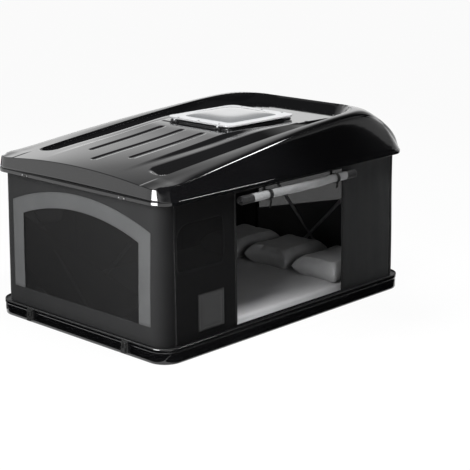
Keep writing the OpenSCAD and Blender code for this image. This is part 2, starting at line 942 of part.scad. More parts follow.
function grooves_at(x, y) =
    groove_at(x, y, 0, groove_l0) + groove_at(x, y, groove_pitch, groove_l1)
    + groove_at(x, y, -groove_pitch, groove_l1);

pad_l = lid_l + 2 * pad_gap;
pad_w = lid_w + 2 * pad_gap;
seam_l = pad_l - 2 * pad_ledge;
seam_w = pad_w - 2 * pad_ledge;
pad_z = rim_z + pad_h;
hole_r = 12;
hole_l = lid_l - 2 * hole_in_x;
hole_w = lid_w - 2 * hole_in_y;
function pad_share(x, y) =
    let (d = min(pad_l / 2 - abs(x - lid_x), pad_w / 2 - abs(y)))
    ease(-6, 0, d);

// Lean of the long sides, and how far in they meet the top
function lean(x) = side_lean + (rear_lean - side_lean) * ease(valley_x0 + 125, lid_x + 232, x);
function crease_in(x) = max(20, lean(x) * (ridge(x) - band_fall));

function fall_at(x, y) =
    band_fall * ease(-half_l, valley_x0 + 135, x)
    * clamp01((abs(y) - lip_y) / (half_w - crease_in(x) - lip_y));

// Height of the roof's top above the rim, before its sides fall away
function roof_top(x, y) =
    let (level = ridge(x) + crown_at(x, y),
         inside = smooth_min(level + panel_at(x, y), pad_h, 12),
         out = ease(-valley_half(x), valley_half(x), valley_side(x, y)),
         free = inside * (1 - out) + (level - fall_at(x, y)) * out - valley_at(x, y) - grooves_at(x, y),
         share = pad_share(x, y))
    free * (1 - share) + pad_h * share;

// Height of the leaning sides and ends, drawn in by inset
function side_top(x, y, inset) =
    let (u = half_l - inset - abs(x), v = half_w - inset - abs(y), near = min(u, v))
    near <= 0 ? 0 : min(u / end_lean, v / lean(x)) * max(0, depth_in(x, y, inset)) / near;

// The lesser of two heights, rounded where they meet: the higher p, the sharper
function rounded_min(a, b, p) = min(a, b) <= 0 ? 0 : pow(pow(a, -p) + pow(b, -p), -1 / p);

// Height of a skin, drawn in by inset and lowered by drop
function skin_z(x, y, inset, drop) =
    rim_z + rounded_min(side_top(x, y, inset), roof_top(x, y) - drop,
                        crease_p + (corner_p - crease_p) * ease(lid_x + 282, lid_x + 732, x));

module roof_shell() {
    skin_l = half_l - rim_out;
    skin_w = half_w - rim_out;
    lip_row = lip_y + 5;
    near_edge = [0, 5, 12, 26, 42];
    pad_x = [lid_x - pad_l / 2 - 6, lid_x - pad_l / 2, lid_x + pad_l / 2, lid_x + pad_l / 2 + 6];
    groove_ends = [for (l = [groove_l0, groove_l1]) each [groove_x1 - l, groove_x1 - l + groove_w / 2]];
    xs = sorted(concat(
        [for (d = near_edge) each [d - skin_l, skin_l - d]],
        [100 - skin_l],
        groove_ends,
        [groove_x1 - groove_w / 2, groove_x1],
        [for (d = [20, 50, 200, 330, 460, 590]) valley_x0 + d],
        pad_x,
        [lid_x - seam_l / 2, lid_x, lid_x + seam_l / 2],
        [for (k = [-3.2, -2, -1.05, -0.5, 0.5, 1.05, 2, 2.8]) cross_x + k * cross_hw]));
    half_rows = concat(
        [groove_w / 2 - 12, groove_w / 2],
        [for (d = [-1, 1]) each [groove_pitch + d * groove_w / 2, groove_pitch + d * (groove_w / 2 - 12)]],
        [seam_w / 2, pad_w / 2, pad_w / 2 + 6, panel_hw - 8, panel_hw + 8],
        [for (d = [-150, -140, -115, -72, -30, -5]) lip_y + d],
        [for (k = [0, 0.17, 0.33, 0.5, 0.62, 0.74, 0.84, 0.92, 0.97, 1]) lip_row + k * (skin_w - lip_row)]);
    ys = sorted(concat(half_rows, -half_rows));
    function place(a, y, inset) = a / skin_l * half_length_at(y, inset);
    // Rows outside the valley keep their share of the way to the crease and on to the edge
    function row_y(x, b, inset) =
        let (edge = half_w - inset, lip = lip_row / skin_w * edge, crease = edge - crease_in(x),
             k = (abs(b) - lip_row) / (skin_w - lip_row))
        k <= 0 ? b / skin_w * edge :
        sign(b) * (k < 0.5 ? lip + (crease - lip) * 2 * k : crease + (edge - crease) * (2 * k - 1));
    function skin(inset, drop) = [for (a = xs) for (b = ys)
        let (y = row_y(a, b, inset), x = place(a, y, inset))
        [x, y, skin_z(x, y, inset, drop)]];
    function index_of(v, list) = search(0, [for (a = list) abs(a - v) < 0.02 ? 0 : 1])[0];
    color(gloss_black)
        slab(skin(rim_out, 0), skin(rim_out + roof_t, roof_t), len(xs), len(ys),
             [index_of(lid_x - seam_l / 2, xs), index_of(lid_x + seam_l / 2, xs),
              index_of(-seam_w / 2, ys), index_of(seam_w / 2, ys)]);
}

// Flat pad let into the roof, with the hatch's opening; the roof's opening narrows downwards
module hatch_pad() {
    share_x = (half_l - rim_out - roof_t) / (half_l - rim_out);
    share_y = (half_w - rim_out - roof_t) / (half_w - rim_out);
    front = lid_x - seam_l / 2;
    rear = lid_x + seam_l / 2;
    side = seam_w / 2 * share_y - sew_gap;
    color(gloss_black)
        difference() {
            block(max(front, front * share_x) + sew_gap, rear * share_x - sew_gap, -side, side,
                  pad_z - roof_t, pad_z);
            translate([0, 0, pad_z - roof_t - 1])
                linear_extrude(roof_t + 2)
                    hatch_plan(hole_l, hole_w, hole_r);
        }
}

module roof_rim() {
    color(gloss_black)
        ring(0, rim_w, lip_z, rim_z);
}

module upper_clamp_rail() {
    color(aluminium_grey)
        ring(rim_w + sew_gap, wall_in - sew_gap, lip_z, upper_clamp_top);
}

// Short bars in the roof's corners that carry the upper strut brackets
module strut_bars(e) {
    color(aluminium_grey)
        for (s = [-1, 1]) {
            at_end(e)
                at_side(s)
                    block(strut_x - strut_off - ear_off - ear_t - 6, strut_x + strut_off + ear_off + ear_t + 2,
                          high_y - ear_w / 2 - 8, high_y + bar_reach, upper_clamp_top, upper_clamp_top + bar_h);
        }
}

module strut_bars_front() {
    strut_bars(-1);
}

module strut_bars_rear() {
    strut_bars(1);
}

// Gas struts: strut a runs up to +Y in the outer plane, strut b to -Y in the inner plane

module at_strut(e, s) {
    translate([e * (strut_x + s * strut_off), 0, 0])
        rotate([0, 0, s > 0 ? 0 : 180])
            children();
}

module strut_line() {
    translate([0, -low_y, low_z])
        rotate([strut_angle, 0, 0])
            children();
}

// How far a bracket plate reaches past its pivot
ear_cap = pivot_r + 8;

// Plate beside a strut, on the side away from the other strut
module ear(e, y, z0, z1) {
    x = e > 0 ? ear_off : -ear_off - ear_t;
    block(x, x + ear_t, y - ear_w / 2, y + ear_w / 2, z0, z1);
}

module strut_bracket(e) {
    foot_l = low_y + ear_w / 2 + 8;
    color(steel_grey)
        union() {
            at_end(e)
                block(strut_x - strut_off - ear_off - ear_t - 2, strut_x + strut_off + ear_off + ear_t + 2,
                      -foot_l, foot_l, floor_z1, floor_z1 + ear_t);
            for (s = [-1, 1]) {
                at_strut(e, s) {
                    ear(e, -low_y, floor_z1, low_z + ear_cap);
                    translate([0, -low_y, low_z])
                        rod_x(pivot_r, e > 0 ? -eye_w / 2 - 2 : -ear_off - 1, e > 0 ? ear_off + 1 : eye_w / 2 + 2);
                }
            }
        }
}

module strut_bracket_front() {
    strut_bracket(-1);
}

module strut_bracket_rear() {
    strut_bracket(1);
}

module strut_roof_brackets() {
    color(steel_grey)
        for (e = [-1, 1], s = [-1, 1]) {
            at_strut(e, s)
                ear(e, high_y, high_z - ear_cap, upper_clamp_top);
        }
}

// Flat tongue that joins a strut eye to its tube or rod
module tongue(y0, y1) {
    tongue_hw = eye_w / 2 - 1.5;
    tongue_hh = eye_r - 2.5;
    block(-tongue_hw, tongue_hw, y0, y1, -tongue_hh, tongue_hh);
}

module strut_tube(e, s) {
    color([0.07, 0.07, 0.075])
        at_strut(e, s)
            strut_line()
                difference() {
                    union() {
                        rod_x(eye_r, -eye_w / 2, eye_w / 2);
                        tongue(0, eye_r + 16);
                        rod_y(tube_r, eye_r + 14, tube_l);
                    }
                    rod_x(pivot_r + run_play, -eye_w, eye_w);
                    rod_y(tube_r - tube_wall, eye_r + 20, tube_l - gland_l);
                    rod_y(rod_r + run_play, tube_l - gland_l - 1, tube_l + 1);
                }
}

module strut_rod(e, s) {
    piston_y = tube_l - gland_l - piston_stop - piston_l;
    stud = ear_off - stud_gap;
    color(aluminium_grey)
        at_strut(e, s)
            strut_line()
                union() {
                    rod_y(tube_r - tube_wall - run_play, piston_y, piston_y + piston_l);
                    rod_y(rod_r, piston_y, strut_len - eye_r - 2);
                    tongue(strut_len - eye_r - 14, strut_len);
                    translate([0, strut_len, 0]) {
                        rod_x(eye_r, -eye_w / 2, eye_w / 2);
                        rod_x(pivot_r, e > 0 ? 0 : -stud, e > 0 ? stud : 0);
                    }
                }
}

module strut_tube_front_a() {
    strut_tube(-1, 1);
}

module strut_tube_front_b() {
    strut_tube(-1, -1);
}

module strut_tube_rear_a() {
    strut_tube(1, 1);
}

module strut_tube_rear_b() {
    strut_tube(1, -1);
}

module strut_rod_front_a() {
    strut_rod(-1, 1);
}

module strut_rod_front_b() {
    strut_rod(-1, -1);
}

module strut_rod_rear_a() {
    strut_rod(1, 1);
}

module strut_rod_rear_b() {
    strut_rod(1, -1);
}

// Latches: a plate and pin on the tray, a hook that swings up over a keeper on the roof rim

tray_face = half_l - bead_out;
latch_plate_t = 6;
latch_ear_t = 4;
latch_boss_w = hook_w - 2 * latch_ear_t - 6;

module at_latch(e, s) {
    at_end(e)
        at_side(s)
            translate([tray_face, latch_y, 0])
                children();
}

module latch_plates() {
    plate_z0 = 16;
    plate_z1 = tray_h - 4;
    color([0.1, 0.1, 0.11])
        for (e = [-1, 1], s = [-1, 1]) {
            at_latch(e, s)
                difference() {
                    union() {
                        block(0, latch_plate_t, -latch_w / 2, latch_w / 2, plate_z0, plate_z1);
                        block(latch_plate_t - 1, latch_pin_u, -latch_boss_w / 2 + 0.4, latch_boss_w / 2 - 0.4,
                              latch_pin_z - latch_pin_r, latch_pin_z + latch_pin_r);
                        translate([latch_pin_u, 0, latch_pin_z])
                            rod_y(latch_pin_r, -hook_w / 2 - 1, hook_w / 2 + 1);
                    }
                    block(-1, bead_out + 0.1, -latch_w, latch_w, tray_h - bead_h - 0.5, tray_h + 1);
                }
        }
}

// Hook with two arms on the pin, a cross bar that catches the keeper and a finger tab
module latch_hook(e, s) {
    arm = (hook_w - latch_boss_w) / 2;
    bar_t = 3;
    bar_h = 4;
    web_h = 6;
    bar_u = 2 * latch_pin_u - keeper_u - keeper_t - hook_gap - bar_t;
    bar_z = 2 * latch_pin_z - keeper_z0 - keeper_t + travel - hook_gap;
    arm_u = latch_pin_u - hook_t / 2;
    hub_r = latch_pin_r + 2.5;
    color([0.14, 0.14, 0.15])
        at_latch(e, s)
            difference() {
                union() {
                    for (k = [-1, 1]) {
                        y0 = k > 0 ? hook_w / 2 - arm : -hook_w / 2;
                        translate([latch_pin_u, 0, latch_pin_z])
                            rod_y(hub_r, y0, y0 + arm);
                        block(arm_u, arm_u + hook_t, y0, y0 + arm, bar_z - bar_h, latch_pin_z);
                        block(arm_u, bar_u + bar_t, y0, y0 + arm, bar_z - bar_h, bar_z + web_h);
                    }
                    block(bar_u, bar_u + bar_t, -hook_w / 2, hook_w / 2, bar_z - bar_h, bar_z);
                    block(bar_u - 1, bar_u + bar_t, -hook_w / 2, hook_w / 2, latch_pin_z - hook_l, bar_z - bar_h);
                }
                translate([latch_pin_u, 0, latch_pin_z])
                    rod_y(latch_pin_r + run_play, -hook_w, hook_w);
            }
}

module latch_hook_front_near() {
    latch_hook(-1, -1);
}

module latch_hook_front_far() {
    latch_hook(-1, 1);
}

module latch_hook_rear_near() {
    latch_hook(1, -1);
}

module latch_hook_rear_far() {
    latch_hook(1, 1);
}

// Keeper with an upturned lip, riveted to the roof rim
keeper_z0 = lip_z + 2;
keeper_t = 2;
keeper_u = bead_out;
keeper_reach = 9;
keeper_lip_t = 2.5;
keeper_lip_h = 5;
hook_gap = 0.5;

module latch_keepers() {
    lip_hw = latch_boss_w / 2 - 1;
    color([0.12, 0.12, 0.13])
        for (e = [-1, 1], s = [-1, 1]) {
            at_latch(e, s)
                union() {
                    block(keeper_u, keeper_u + keeper_t, -keeper_w / 2, keeper_w / 2, keeper_z0, rim_z - 3);
                    block(keeper_u, keeper_u + keeper_reach, -lip_hw, lip_hw, keeper_z0, keeper_z0 + keeper_t);
                    block(keeper_u + keeper_reach - keeper_lip_t, keeper_u + keeper_reach, -lip_hw, lip_hw,
                          keeper_z0, keeper_z0 + keeper_lip_h);
                }
        }
}

module keeper_rivets() {
    rivet_r = 3.2;
    rivet_h = 1.6;
    color(aluminium_grey)
        for (e = [-1, 1], s = [-1, 1], k = [-1, 1]) {
            at_latch(e, s)
                translate([keeper_u + keeper_t, k * (keeper_w / 2 - 5), keeper_z0 + 8])
                    rod_x(rivet_r, 0, rivet_h);
        }
}

// Roof hatch

module hatch_plan(l, w, r) {
    translate([lid_x, 0])
        round_rect(l, w, r);
}

lid_z = pad_z + lid_lift;
glazed_l = lid_l - 2 * lid_band_x;
glazed_w = lid_w - 2 * lid_band_y;
hinge_x = lid_x - lid_l / 2 - knuckle_r - 1;
hinge_z = lid_z - knuckle_r + 1;
knuckle_w = hatch_hinge_w / 3;

module at_hinge(s) {
    translate([hinge_x, s * hatch_hinge_y, hinge_z])
        children();
}

module hatch_frame() {
    upstand_l = hole_l + 2 * upstand_w;
    upstand_h = lid_z - gasket_h - sew_gap - pad_z;
    color([0.05, 0.05, 0.05])
        difference() {
            union() {
                translate([0, 0, pad_z])
                    linear_extrude(flange_h)
                        difference() {
                            hatch_plan(lid_l - 16, lid_w - 16, lid_r - 8);
                            hatch_plan(hole_l, hole_w, hole_r);
                        }
                translate([0, 0, pad_z])
                    linear_extrude(upstand_h)
                        difference() {
                            hatch_plan(upstand_l, hole_w + 2 * upstand_w, hole_r + upstand_w);
                            hatch_plan(hole_l, hole_w, hole_r);
                        }
                for (s = [-1, 1]) {
                    at_hinge(s) {
                        block(-knuckle_r, knuckle_r + 30, -hatch_hinge_w / 2, hatch_hinge_w / 2,
                              pad_z - hinge_z, pad_z + 3 - hinge_z);
                        for (k = [-1, 1]) {
                            translate([0, k * knuckle_w, 0]) {
                                rod_y(knuckle_r, -knuckle_w / 2 + 0.3, knuckle_w / 2 - 0.3);
                                block(-knuckle_r, knuckle_r, -knuckle_w / 2 + 0.3, knuckle_w / 2 - 0.3,
                                      pad_z - hinge_z, 0);
                            }
                        }
                    }
                }
            }
            for (s = [-1, 1]) {
                at_hinge(s)
                    rod_y(hatch_pin_r + run_play, -hatch_hinge_w, hatch_hinge_w);
            }
        }
}

module hatch_gasket() {
    color([0.04, 0.04, 0.04])
        translate([0, 0, lid_z - gasket_h - sew_gap])
            linear_extrude(gasket_h)
                difference() {
                    hatch_plan(hole_l + 2 * upstand_w - 2, hole_w + 2 * upstand_w - 2, hole_r - 1 + upstand_w);
                    hatch_plan(hole_l + 2, hole_w + 2, hole_r + 1);
                }
}

module hatch_pins() {
    color(steel_grey)
        for (s = [-1, 1]) {
            at_hinge(s)
                rod_y(hatch_pin_r, -hatch_hinge_w / 2, hatch_hinge_w / 2);
        }
}

module hatch_lid() {
    color([0.62, 0.63, 0.65])
        difference() {
            union() {
                translate([0, 0, lid_z])
                    linear_extrude(lid_t)
                        hatch_plan(lid_l, lid_w, lid_r);
                for (s = [-1, 1]) {
                    at_hinge(s) {
                        rod_y(knuckle_r, -knuckle_w / 2 + 0.3, knuckle_w / 2 - 0.3);
                        block(0, knuckle_r + 8, -knuckle_w / 2 + 0.3, knuckle_w / 2 - 0.3, 2, lid_z + 3 - hinge_z);
                    }
                }
            }
            translate([0, 0, lid_z + lid_t - dome_t - 2])
                linear_extrude(lid_t)
                    hatch_plan(glazed_l, glazed_w, 40);
            translate([0, 0, lid_z - 1])
                linear_extrude(lid_t)
                    hatch_plan(glazed_l - 2 * ledge_w, glazed_w - 2 * ledge_w, 30);
            for (s = [-1, 1]) {
                at_hinge(s)
                    rod_y(hatch_pin_r + run_play, -hatch_hinge_w, hatch_hinge_w);
            }
        }
}

// Smoked dome that lies on the lid's ledge
module hatch_dome(nu = 20, nv = 18) {
    r = 40;
    l = glazed_l - 2 * sew_gap;
    w = glazed_w - 2 * sew_gap;
    base = lid_z + lid_t - dome_t - 2;
    us = [for (i = [0 : nu]) sin(90 * (2 * i / nu - 1))];
    vs = [for (j = [0 : nv]) sin(90 * (2 * j / nv - 1))];
    function reach(y) = let (q = max(0, abs(y) - w / 2 + r)) l / 2 - r + sqrt(max(0, r * r - q * q));
    function rise(u, v) = dome_rise * pow((1 - pow(u, 4)) * (1 - pow(v, 4)), 0.6);
    lower = [for (u = us) for (v = vs) [lid_x + u * reach(v * w / 2), v * w / 2, base + rise(u, v)]];
    upper = [for (p = lower) p + [0, 0, dome_t]];
    color([0.2, 0.2, 0.21, 0.6])
        slab(upper, lower, nu + 1, nv + 1);
}

module hatch_screws() {
    screw_in = 16;
    screw_h = 1.6;
    color([0.05, 0.05, 0.05])
        for (e = [-1, 1], k = [-1 : 1]) {
            translate([lid_x + e * (lid_l / 2 - screw_in), k * lid_screw_pitch, lid_z + lid_t])
                cylinder(h = screw_h, r = lid_screw_r);
        }
}

// Pull under the lid's rear edge, within the roof opening
module hatch_pull() {
    pull_hw = 55;
    pull_t = 7;
    drop = 24;
    x0 = lid_x + glazed_l / 2 - ledge_w + 2;
    color([0.08, 0.08, 0.08])
        union() {
            block(x0, x0 + pull_t, -pull_hw, pull_hw, lid_z - drop, lid_z - drop + pull_t);
            for (k = [-1, 1]) {
                block(x0, x0 + pull_t, k * (pull_hw - 5) - 5, k * (pull_hw - 5) + 5, lid_z - drop, lid_z);
            }
        }
}

base_tray();
tray_rim_seal();
mount_rail_near();
mount_rail_far();
rail_bolts();
floor_panel();
mattress();
pillow_near();
pillow_middle();
pillow_far();
lower_clamp_rail();
strut_bracket_front();
strut_bracket_rear();
latch_plates();
front_wall();
rear_wall();
near_wall();
far_wall();
near_rear_panel();
far_rear_panel();
front_window_mesh();
rear_window_mesh();
near_window_mesh();
far_window_mesh();
front_window_trim();
rear_window_trim();
door_zips();
side_pocket();
near_door_roll();
far_door();
roll_straps();
roof_shell();
hatch_pad();
roof_rim();
upper_clamp_rail();
strut_bars_front();
strut_bars_rear();
strut_roof_brackets();
latch_keepers();
keeper_rivets();
hatch_frame();
hatch_gasket();
hatch_pins();
hatch_lid();
hatch_dome();
hatch_screws();
hatch_pull();
strut_tube_front_a();
strut_tube_front_b();
strut_tube_rear_a();
strut_tube_rear_b();
strut_rod_front_a();
strut_rod_front_b();
strut_rod_rear_a();
strut_rod_rear_b();
latch_hook_front_near();
latch_hook_front_far();
latch_hook_rear_near();
latch_hook_rear_far();
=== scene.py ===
"""Dresses a roof top tent: gloss shell, fabric walls, a rolled-up door, bedding, hatch and studio stage."""

import json
import math

import bmesh
import bpy
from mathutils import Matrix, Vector, noise


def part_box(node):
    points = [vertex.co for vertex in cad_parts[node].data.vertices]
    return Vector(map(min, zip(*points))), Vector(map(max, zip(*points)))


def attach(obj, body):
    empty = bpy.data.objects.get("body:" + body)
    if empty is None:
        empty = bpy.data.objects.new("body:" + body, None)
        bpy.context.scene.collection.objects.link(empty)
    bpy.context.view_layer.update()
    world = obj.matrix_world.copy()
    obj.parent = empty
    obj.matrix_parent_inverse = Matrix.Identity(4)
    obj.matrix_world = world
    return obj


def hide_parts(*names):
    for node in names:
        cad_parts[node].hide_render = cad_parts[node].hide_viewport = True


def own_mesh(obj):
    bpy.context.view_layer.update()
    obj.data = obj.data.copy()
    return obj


bl_info = {
    "name": "Roof top tent",
    "version": (1, 0, 0),
    "blender": (4, 5, 0),
    "location": "3D View > Sidebar > Tent",
    "description": "Builds the pieces of a hard-shell roof top tent over its frame",
    "category": "Object",
}

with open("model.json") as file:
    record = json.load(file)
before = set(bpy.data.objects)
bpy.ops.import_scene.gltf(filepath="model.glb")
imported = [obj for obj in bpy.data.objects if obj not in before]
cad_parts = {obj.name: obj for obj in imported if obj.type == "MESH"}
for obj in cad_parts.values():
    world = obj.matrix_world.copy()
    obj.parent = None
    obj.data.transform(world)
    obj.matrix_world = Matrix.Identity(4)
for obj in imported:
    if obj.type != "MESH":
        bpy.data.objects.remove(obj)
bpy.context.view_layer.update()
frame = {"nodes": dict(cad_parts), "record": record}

RIM_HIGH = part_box("roof_rim")[1]
WALL_LOW, WALL_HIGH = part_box("front_wall")

HALF_L = RIM_HIGH.x
HALF_W = RIM_HIGH.y
CORNER_R = 0.12
CORE_X = HALF_L - CORNER_R
CORE_Y = HALF_W - CORNER_R
RIM_TOP = RIM_HIGH.z
WALL_Z0 = WALL_LOW.z
WALL_Z1 = WALL_HIGH.z
WALL_IN = 0.036

DOOR_X0, DOOR_X1 = -0.455, 0.460
DOOR_Z0, DOOR_Z1 = 0.094, 0.846
WINDOW_HW, WINDOW_SILL, WINDOW_SHOULDER, WINDOW_CROWN = 0.5, 0.19, 0.65, 0.738
SIDE_X0, SIDE_X1, SIDE_Z0, SIDE_Z1 = -0.914, -0.562, 0.49, 0.744
SIDE_R, SIDE_R_FRONT = 0.025, 0.09
ROLL_X0, ROLL_X1, ROLL_Y, ROLL_Z = -0.462, 0.528, 0.7186, 0.812
STRAP_XS = (-0.233, 0.353)
HATCH_X = 0.218
HATCH_Z = 1.108
ENDS = ((-1, "front"), (1, "rear"))
SIDES = ((-1, "near"), (1, "far"))


def size(label, text, default):
    return bpy.props.FloatProperty(name=label, description=text, default=default, min=0.0, max=3.0,
                                   unit="LENGTH", precision=4)


def colour(label, text, default):
    return bpy.props.FloatVectorProperty(name=label, description=text, default=default, min=0.0, max=1.0,
                                         size=3, subtype="COLOR")


class TentSizes(bpy.types.PropertyGroup):
    """Sizes of the soft pieces and the edges that a user may change"""
    roof_t: size("Roof thickness", "Thickness of the roof laminate", 0.005)
    cloth_t: size("Cloth thickness", "Thickness of the wall cloth", 0.0012)
    wall_lean: size("Wall lean", "How far the cloth leans in below the roof", 0.009)
    wrinkle: size("Wrinkle depth", "Depth of the soft wrinkles in the walls", 0.0016)
    fold: size("Fold depth", "Depth of the folds behind the doors", 0.016)
    roll_r: size("Roll radius", "Radius of the rolled door", 0.027)
    roll_pitch: size("Roll pitch", "Distance between the turns of the rolled door", 0.003)
    pillow_swell: size("Pillow swell", "Most that the stuffing moves a pillow's cover", 0.016)


class TentColours(bpy.types.PropertyGroup):
    """Colours of the finishes"""
    shell: colour("Shell", "Gloss coat of the tray and the roof", (0.004, 0.004, 0.0044))
    wall: colour("End wall cloth", "Proofed canvas of the end walls", (0.016, 0.0163, 0.0168))
    # Painted shade: the side colour is a darker copy of the end wall canvas, standing in for the shade on the unlit
    # long walls.
    side: colour("Side wall cloth", "Darker canvas of the long walls", (0.0036, 0.0036, 0.0039))
    panel: colour("Rear panel", "Canvas behind the doors", (0.023, 0.0235, 0.024))
    trim: colour("Window trim", "Arched band round the end windows", (0.088, 0.0898, 0.0915))
    mesh: colour("Window mesh", "Insect mesh of the windows", (0.005, 0.005, 0.0052))
    blind: colour("Blind", "Let-down blinds inside the end windows", (0.06, 0.06, 0.061))
    roll: colour("Rolled door", "Silvered lining of the rolled door", (0.23, 0.233, 0.236))
    webbing: colour("Webbing", "Straps, zip tapes and the pocket's binding", (0.010, 0.010, 0.010))
    pocket: colour("Pocket", "Coarse cloth of the pocket", (0.016, 0.0162, 0.0165))
    mattress: colour("Mattress", "Knitted cover of the mattress", (0.42, 0.42, 0.43))
    pillow: colour("Pillow", "Cover of the pillows", (0.34, 0.342, 0.346))
    lid: colour("Hatch lid", "Moulded frame of the hatch lid", (0.47, 0.475, 0.485))
    dome: colour("Dome", "Smoked dome of the hatch", (0.17, 0.175, 0.18))
    metal: colour("Bare metal", "Rivets of the latch keepers", (0.62, 0.62, 0.63))
    satin: colour("Satin black", "Brackets of the struts", (0.022, 0.022, 0.023))


# Shader graphs

class Socket:
    """A value in a shader graph; arithmetic on it adds Math nodes."""

    def __init__(self, graph, link):
        self.graph = graph
        self.link = link

    def maths(self, operation, *others):
        return self.graph.add("Math", {"operation": operation}, dict(enumerate((self,) + others)))

    def __add__(self, other):
        return self.maths("ADD", other)

    __radd__ = __add__

    def __sub__(self, other):
        return self.maths("SUBTRACT", other)

    def __rsub__(self, other):
        return self.graph.add("Math", {"operation": "SUBTRACT"}, {0: other, 1: self})

    def __mul__(self, other):
        return self.maths("MULTIPLY", other)

    __rmul__ = __mul__

    def __truediv__(self, other):
        return self.maths("DIVIDE", other)

    def __lt__(self, other):
        return self.maths("LESS_THAN", other)

    def __gt__(self, other):
        return self.maths("GREATER_THAN", other)

    def __abs__(self):
        return self.maths("ABSOLUTE")

    def wave(self, period):
        """Runs from -1 to 1 and back once in each period."""
        return (self * (2 * math.pi / period)).maths("SINE")


class Graph:
    """A node tree that is filled by add()."""

    def __init__(self, tree):
        self.tree = tree

    def add(self, kind, settings=None, inputs=None, output=0):
        node = self.tree.nodes.new("ShaderNode" + kind)
        for key, value in (settings or {}).items():
            if key == "stops":
                while len(node.color_ramp.elements) < len(value):
                    node.color_ramp.elements.new(0.5)
                for element, (place, grey) in zip(node.color_ramp.elements, value):
                    element.position = place
                    element.color = (grey, grey, grey, 1.0)
            else:
                setattr(node, key, value)
        for key, value in (inputs or {}).items():
            self.feed(node.inputs[key], value)
        return Socket(self, node.outputs[output])

    def feed(self, socket, value):
        if isinstance(value, Socket):
            self.tree.links.new(value.link, socket)
        else:
            socket.default_value = value


class Finish(Graph):
    """A material on one Principled shader."""

    def __init__(self, name, tint, roughness, **constants):
        self.material = bpy.data.materials.new(name)
        self.material.use_nodes = True
        super().__init__(self.material.node_tree)
        self.shader = self.tree.nodes["Principled BSDF"]
        self.tint = tuple(tint)
        self.set("Base Color", (*self.tint, 1.0))
        self.set("Roughness", roughness)
        for key, value in constants.items():
            self.set(key.replace("_", " ").title().replace("Ior", "IOR"), value)

    def set(self, key, value):
        self.feed(self.shader.inputs[key], value)

    def place(self):
        """Object coordinates in metres."""
        return self.add("TexCoord", output="Object")

    def axes(self, place):
        """The three coordinates of a place."""
        node = self.add("SeparateXYZ", inputs={0: place}).link.node
        return [Socket(self, out) for out in node.outputs]

    def cloth_axes(self):
        """The piece's own UV map in metres."""
        return self.axes(self.add("TexCoord", output="UV"))

    def noise(self, scale, detail=3.0, stretch=(1.0, 1.0, 1.0)):
        spot = self.add("Mapping", inputs={"Vector": self.place(), "Scale": stretch})
        return self.add("TexNoise", {"noise_dimensions": "3D"}, {"Vector": spot, "Scale": scale, "Detail": detail})

    def shade(self, factor, dark, light):
        """Varies the base colour between a darker and a lighter shade of itself."""
        low = (*(c * dark for c in self.tint), 1.0)
        high = (*(min(1.0, c * light) for c in self.tint), 1.0)
        self.mix(factor, low, high)

    def mix(self, factor, low, high):
        self.set("Base Color", self.add("Mix", {"data_type": "RGBA"}, {0: factor, 6: low, 7: high}, 2))

    def tone(self):
        """The base colour as varied so far."""
        return Socket(self, self.shader.inputs["Base Color"].links[0].from_socket)

    def bump(self, height, distance, strength):
        self.set("Normal", self.add("Bump", inputs={"Height": height, "Distance": distance, "Strength": strength}))

    def weave(self, period, distance, strength, extra):
        """Plain weave along the UV map, with an extra height in the same units."""
        u, v, _ = self.cloth_axes()
        self.bump(u.wave(period) * v.wave(period) + extra, distance, strength)


def stitches(u, v, offset, pitch=0.007, width=0.0009):
    """1 on a line of stitches that runs along u at a distance v."""
    return (abs(v - offset) < width) * (u.wave(pitch) > -0.45)


FINISHES = {}


def canvas(slot, name, tint, roughness, sheen, fuzz=0.4, period=0.0018, crumple=26.0, blotch=5.0, spread=0.15):
    """A proofed woven cloth."""
    f = FINISHES[slot] = Finish(name, tint, roughness, specular_ior_level=0.12, sheen_weight=sheen,
                                sheen_roughness=fuzz)
    f.weave(period, 0.0004, 0.5, f.noise(crumple) * 3.0)
    f.shade(f.noise(blotch, 4.0), 1 - spread, 1 + spread)
    return f


def hard(slot, name, tint, rough, shade, grain=None, **constants):
    """A hard finish: rough is (least, spread, scale), shade (scale, dark, light), grain (scale, depth, strength)."""
    f = FINISHES[slot] = Finish(name, tint, rough[0], **constants)
    f.set("Roughness", rough[0] + rough[1] * f.noise(rough[2]))
    f.shade(f.noise(shade[0]), *shade[1:])
    if grain:
        f.bump(f.noise(grain[0], 2.0), *grain[1:])


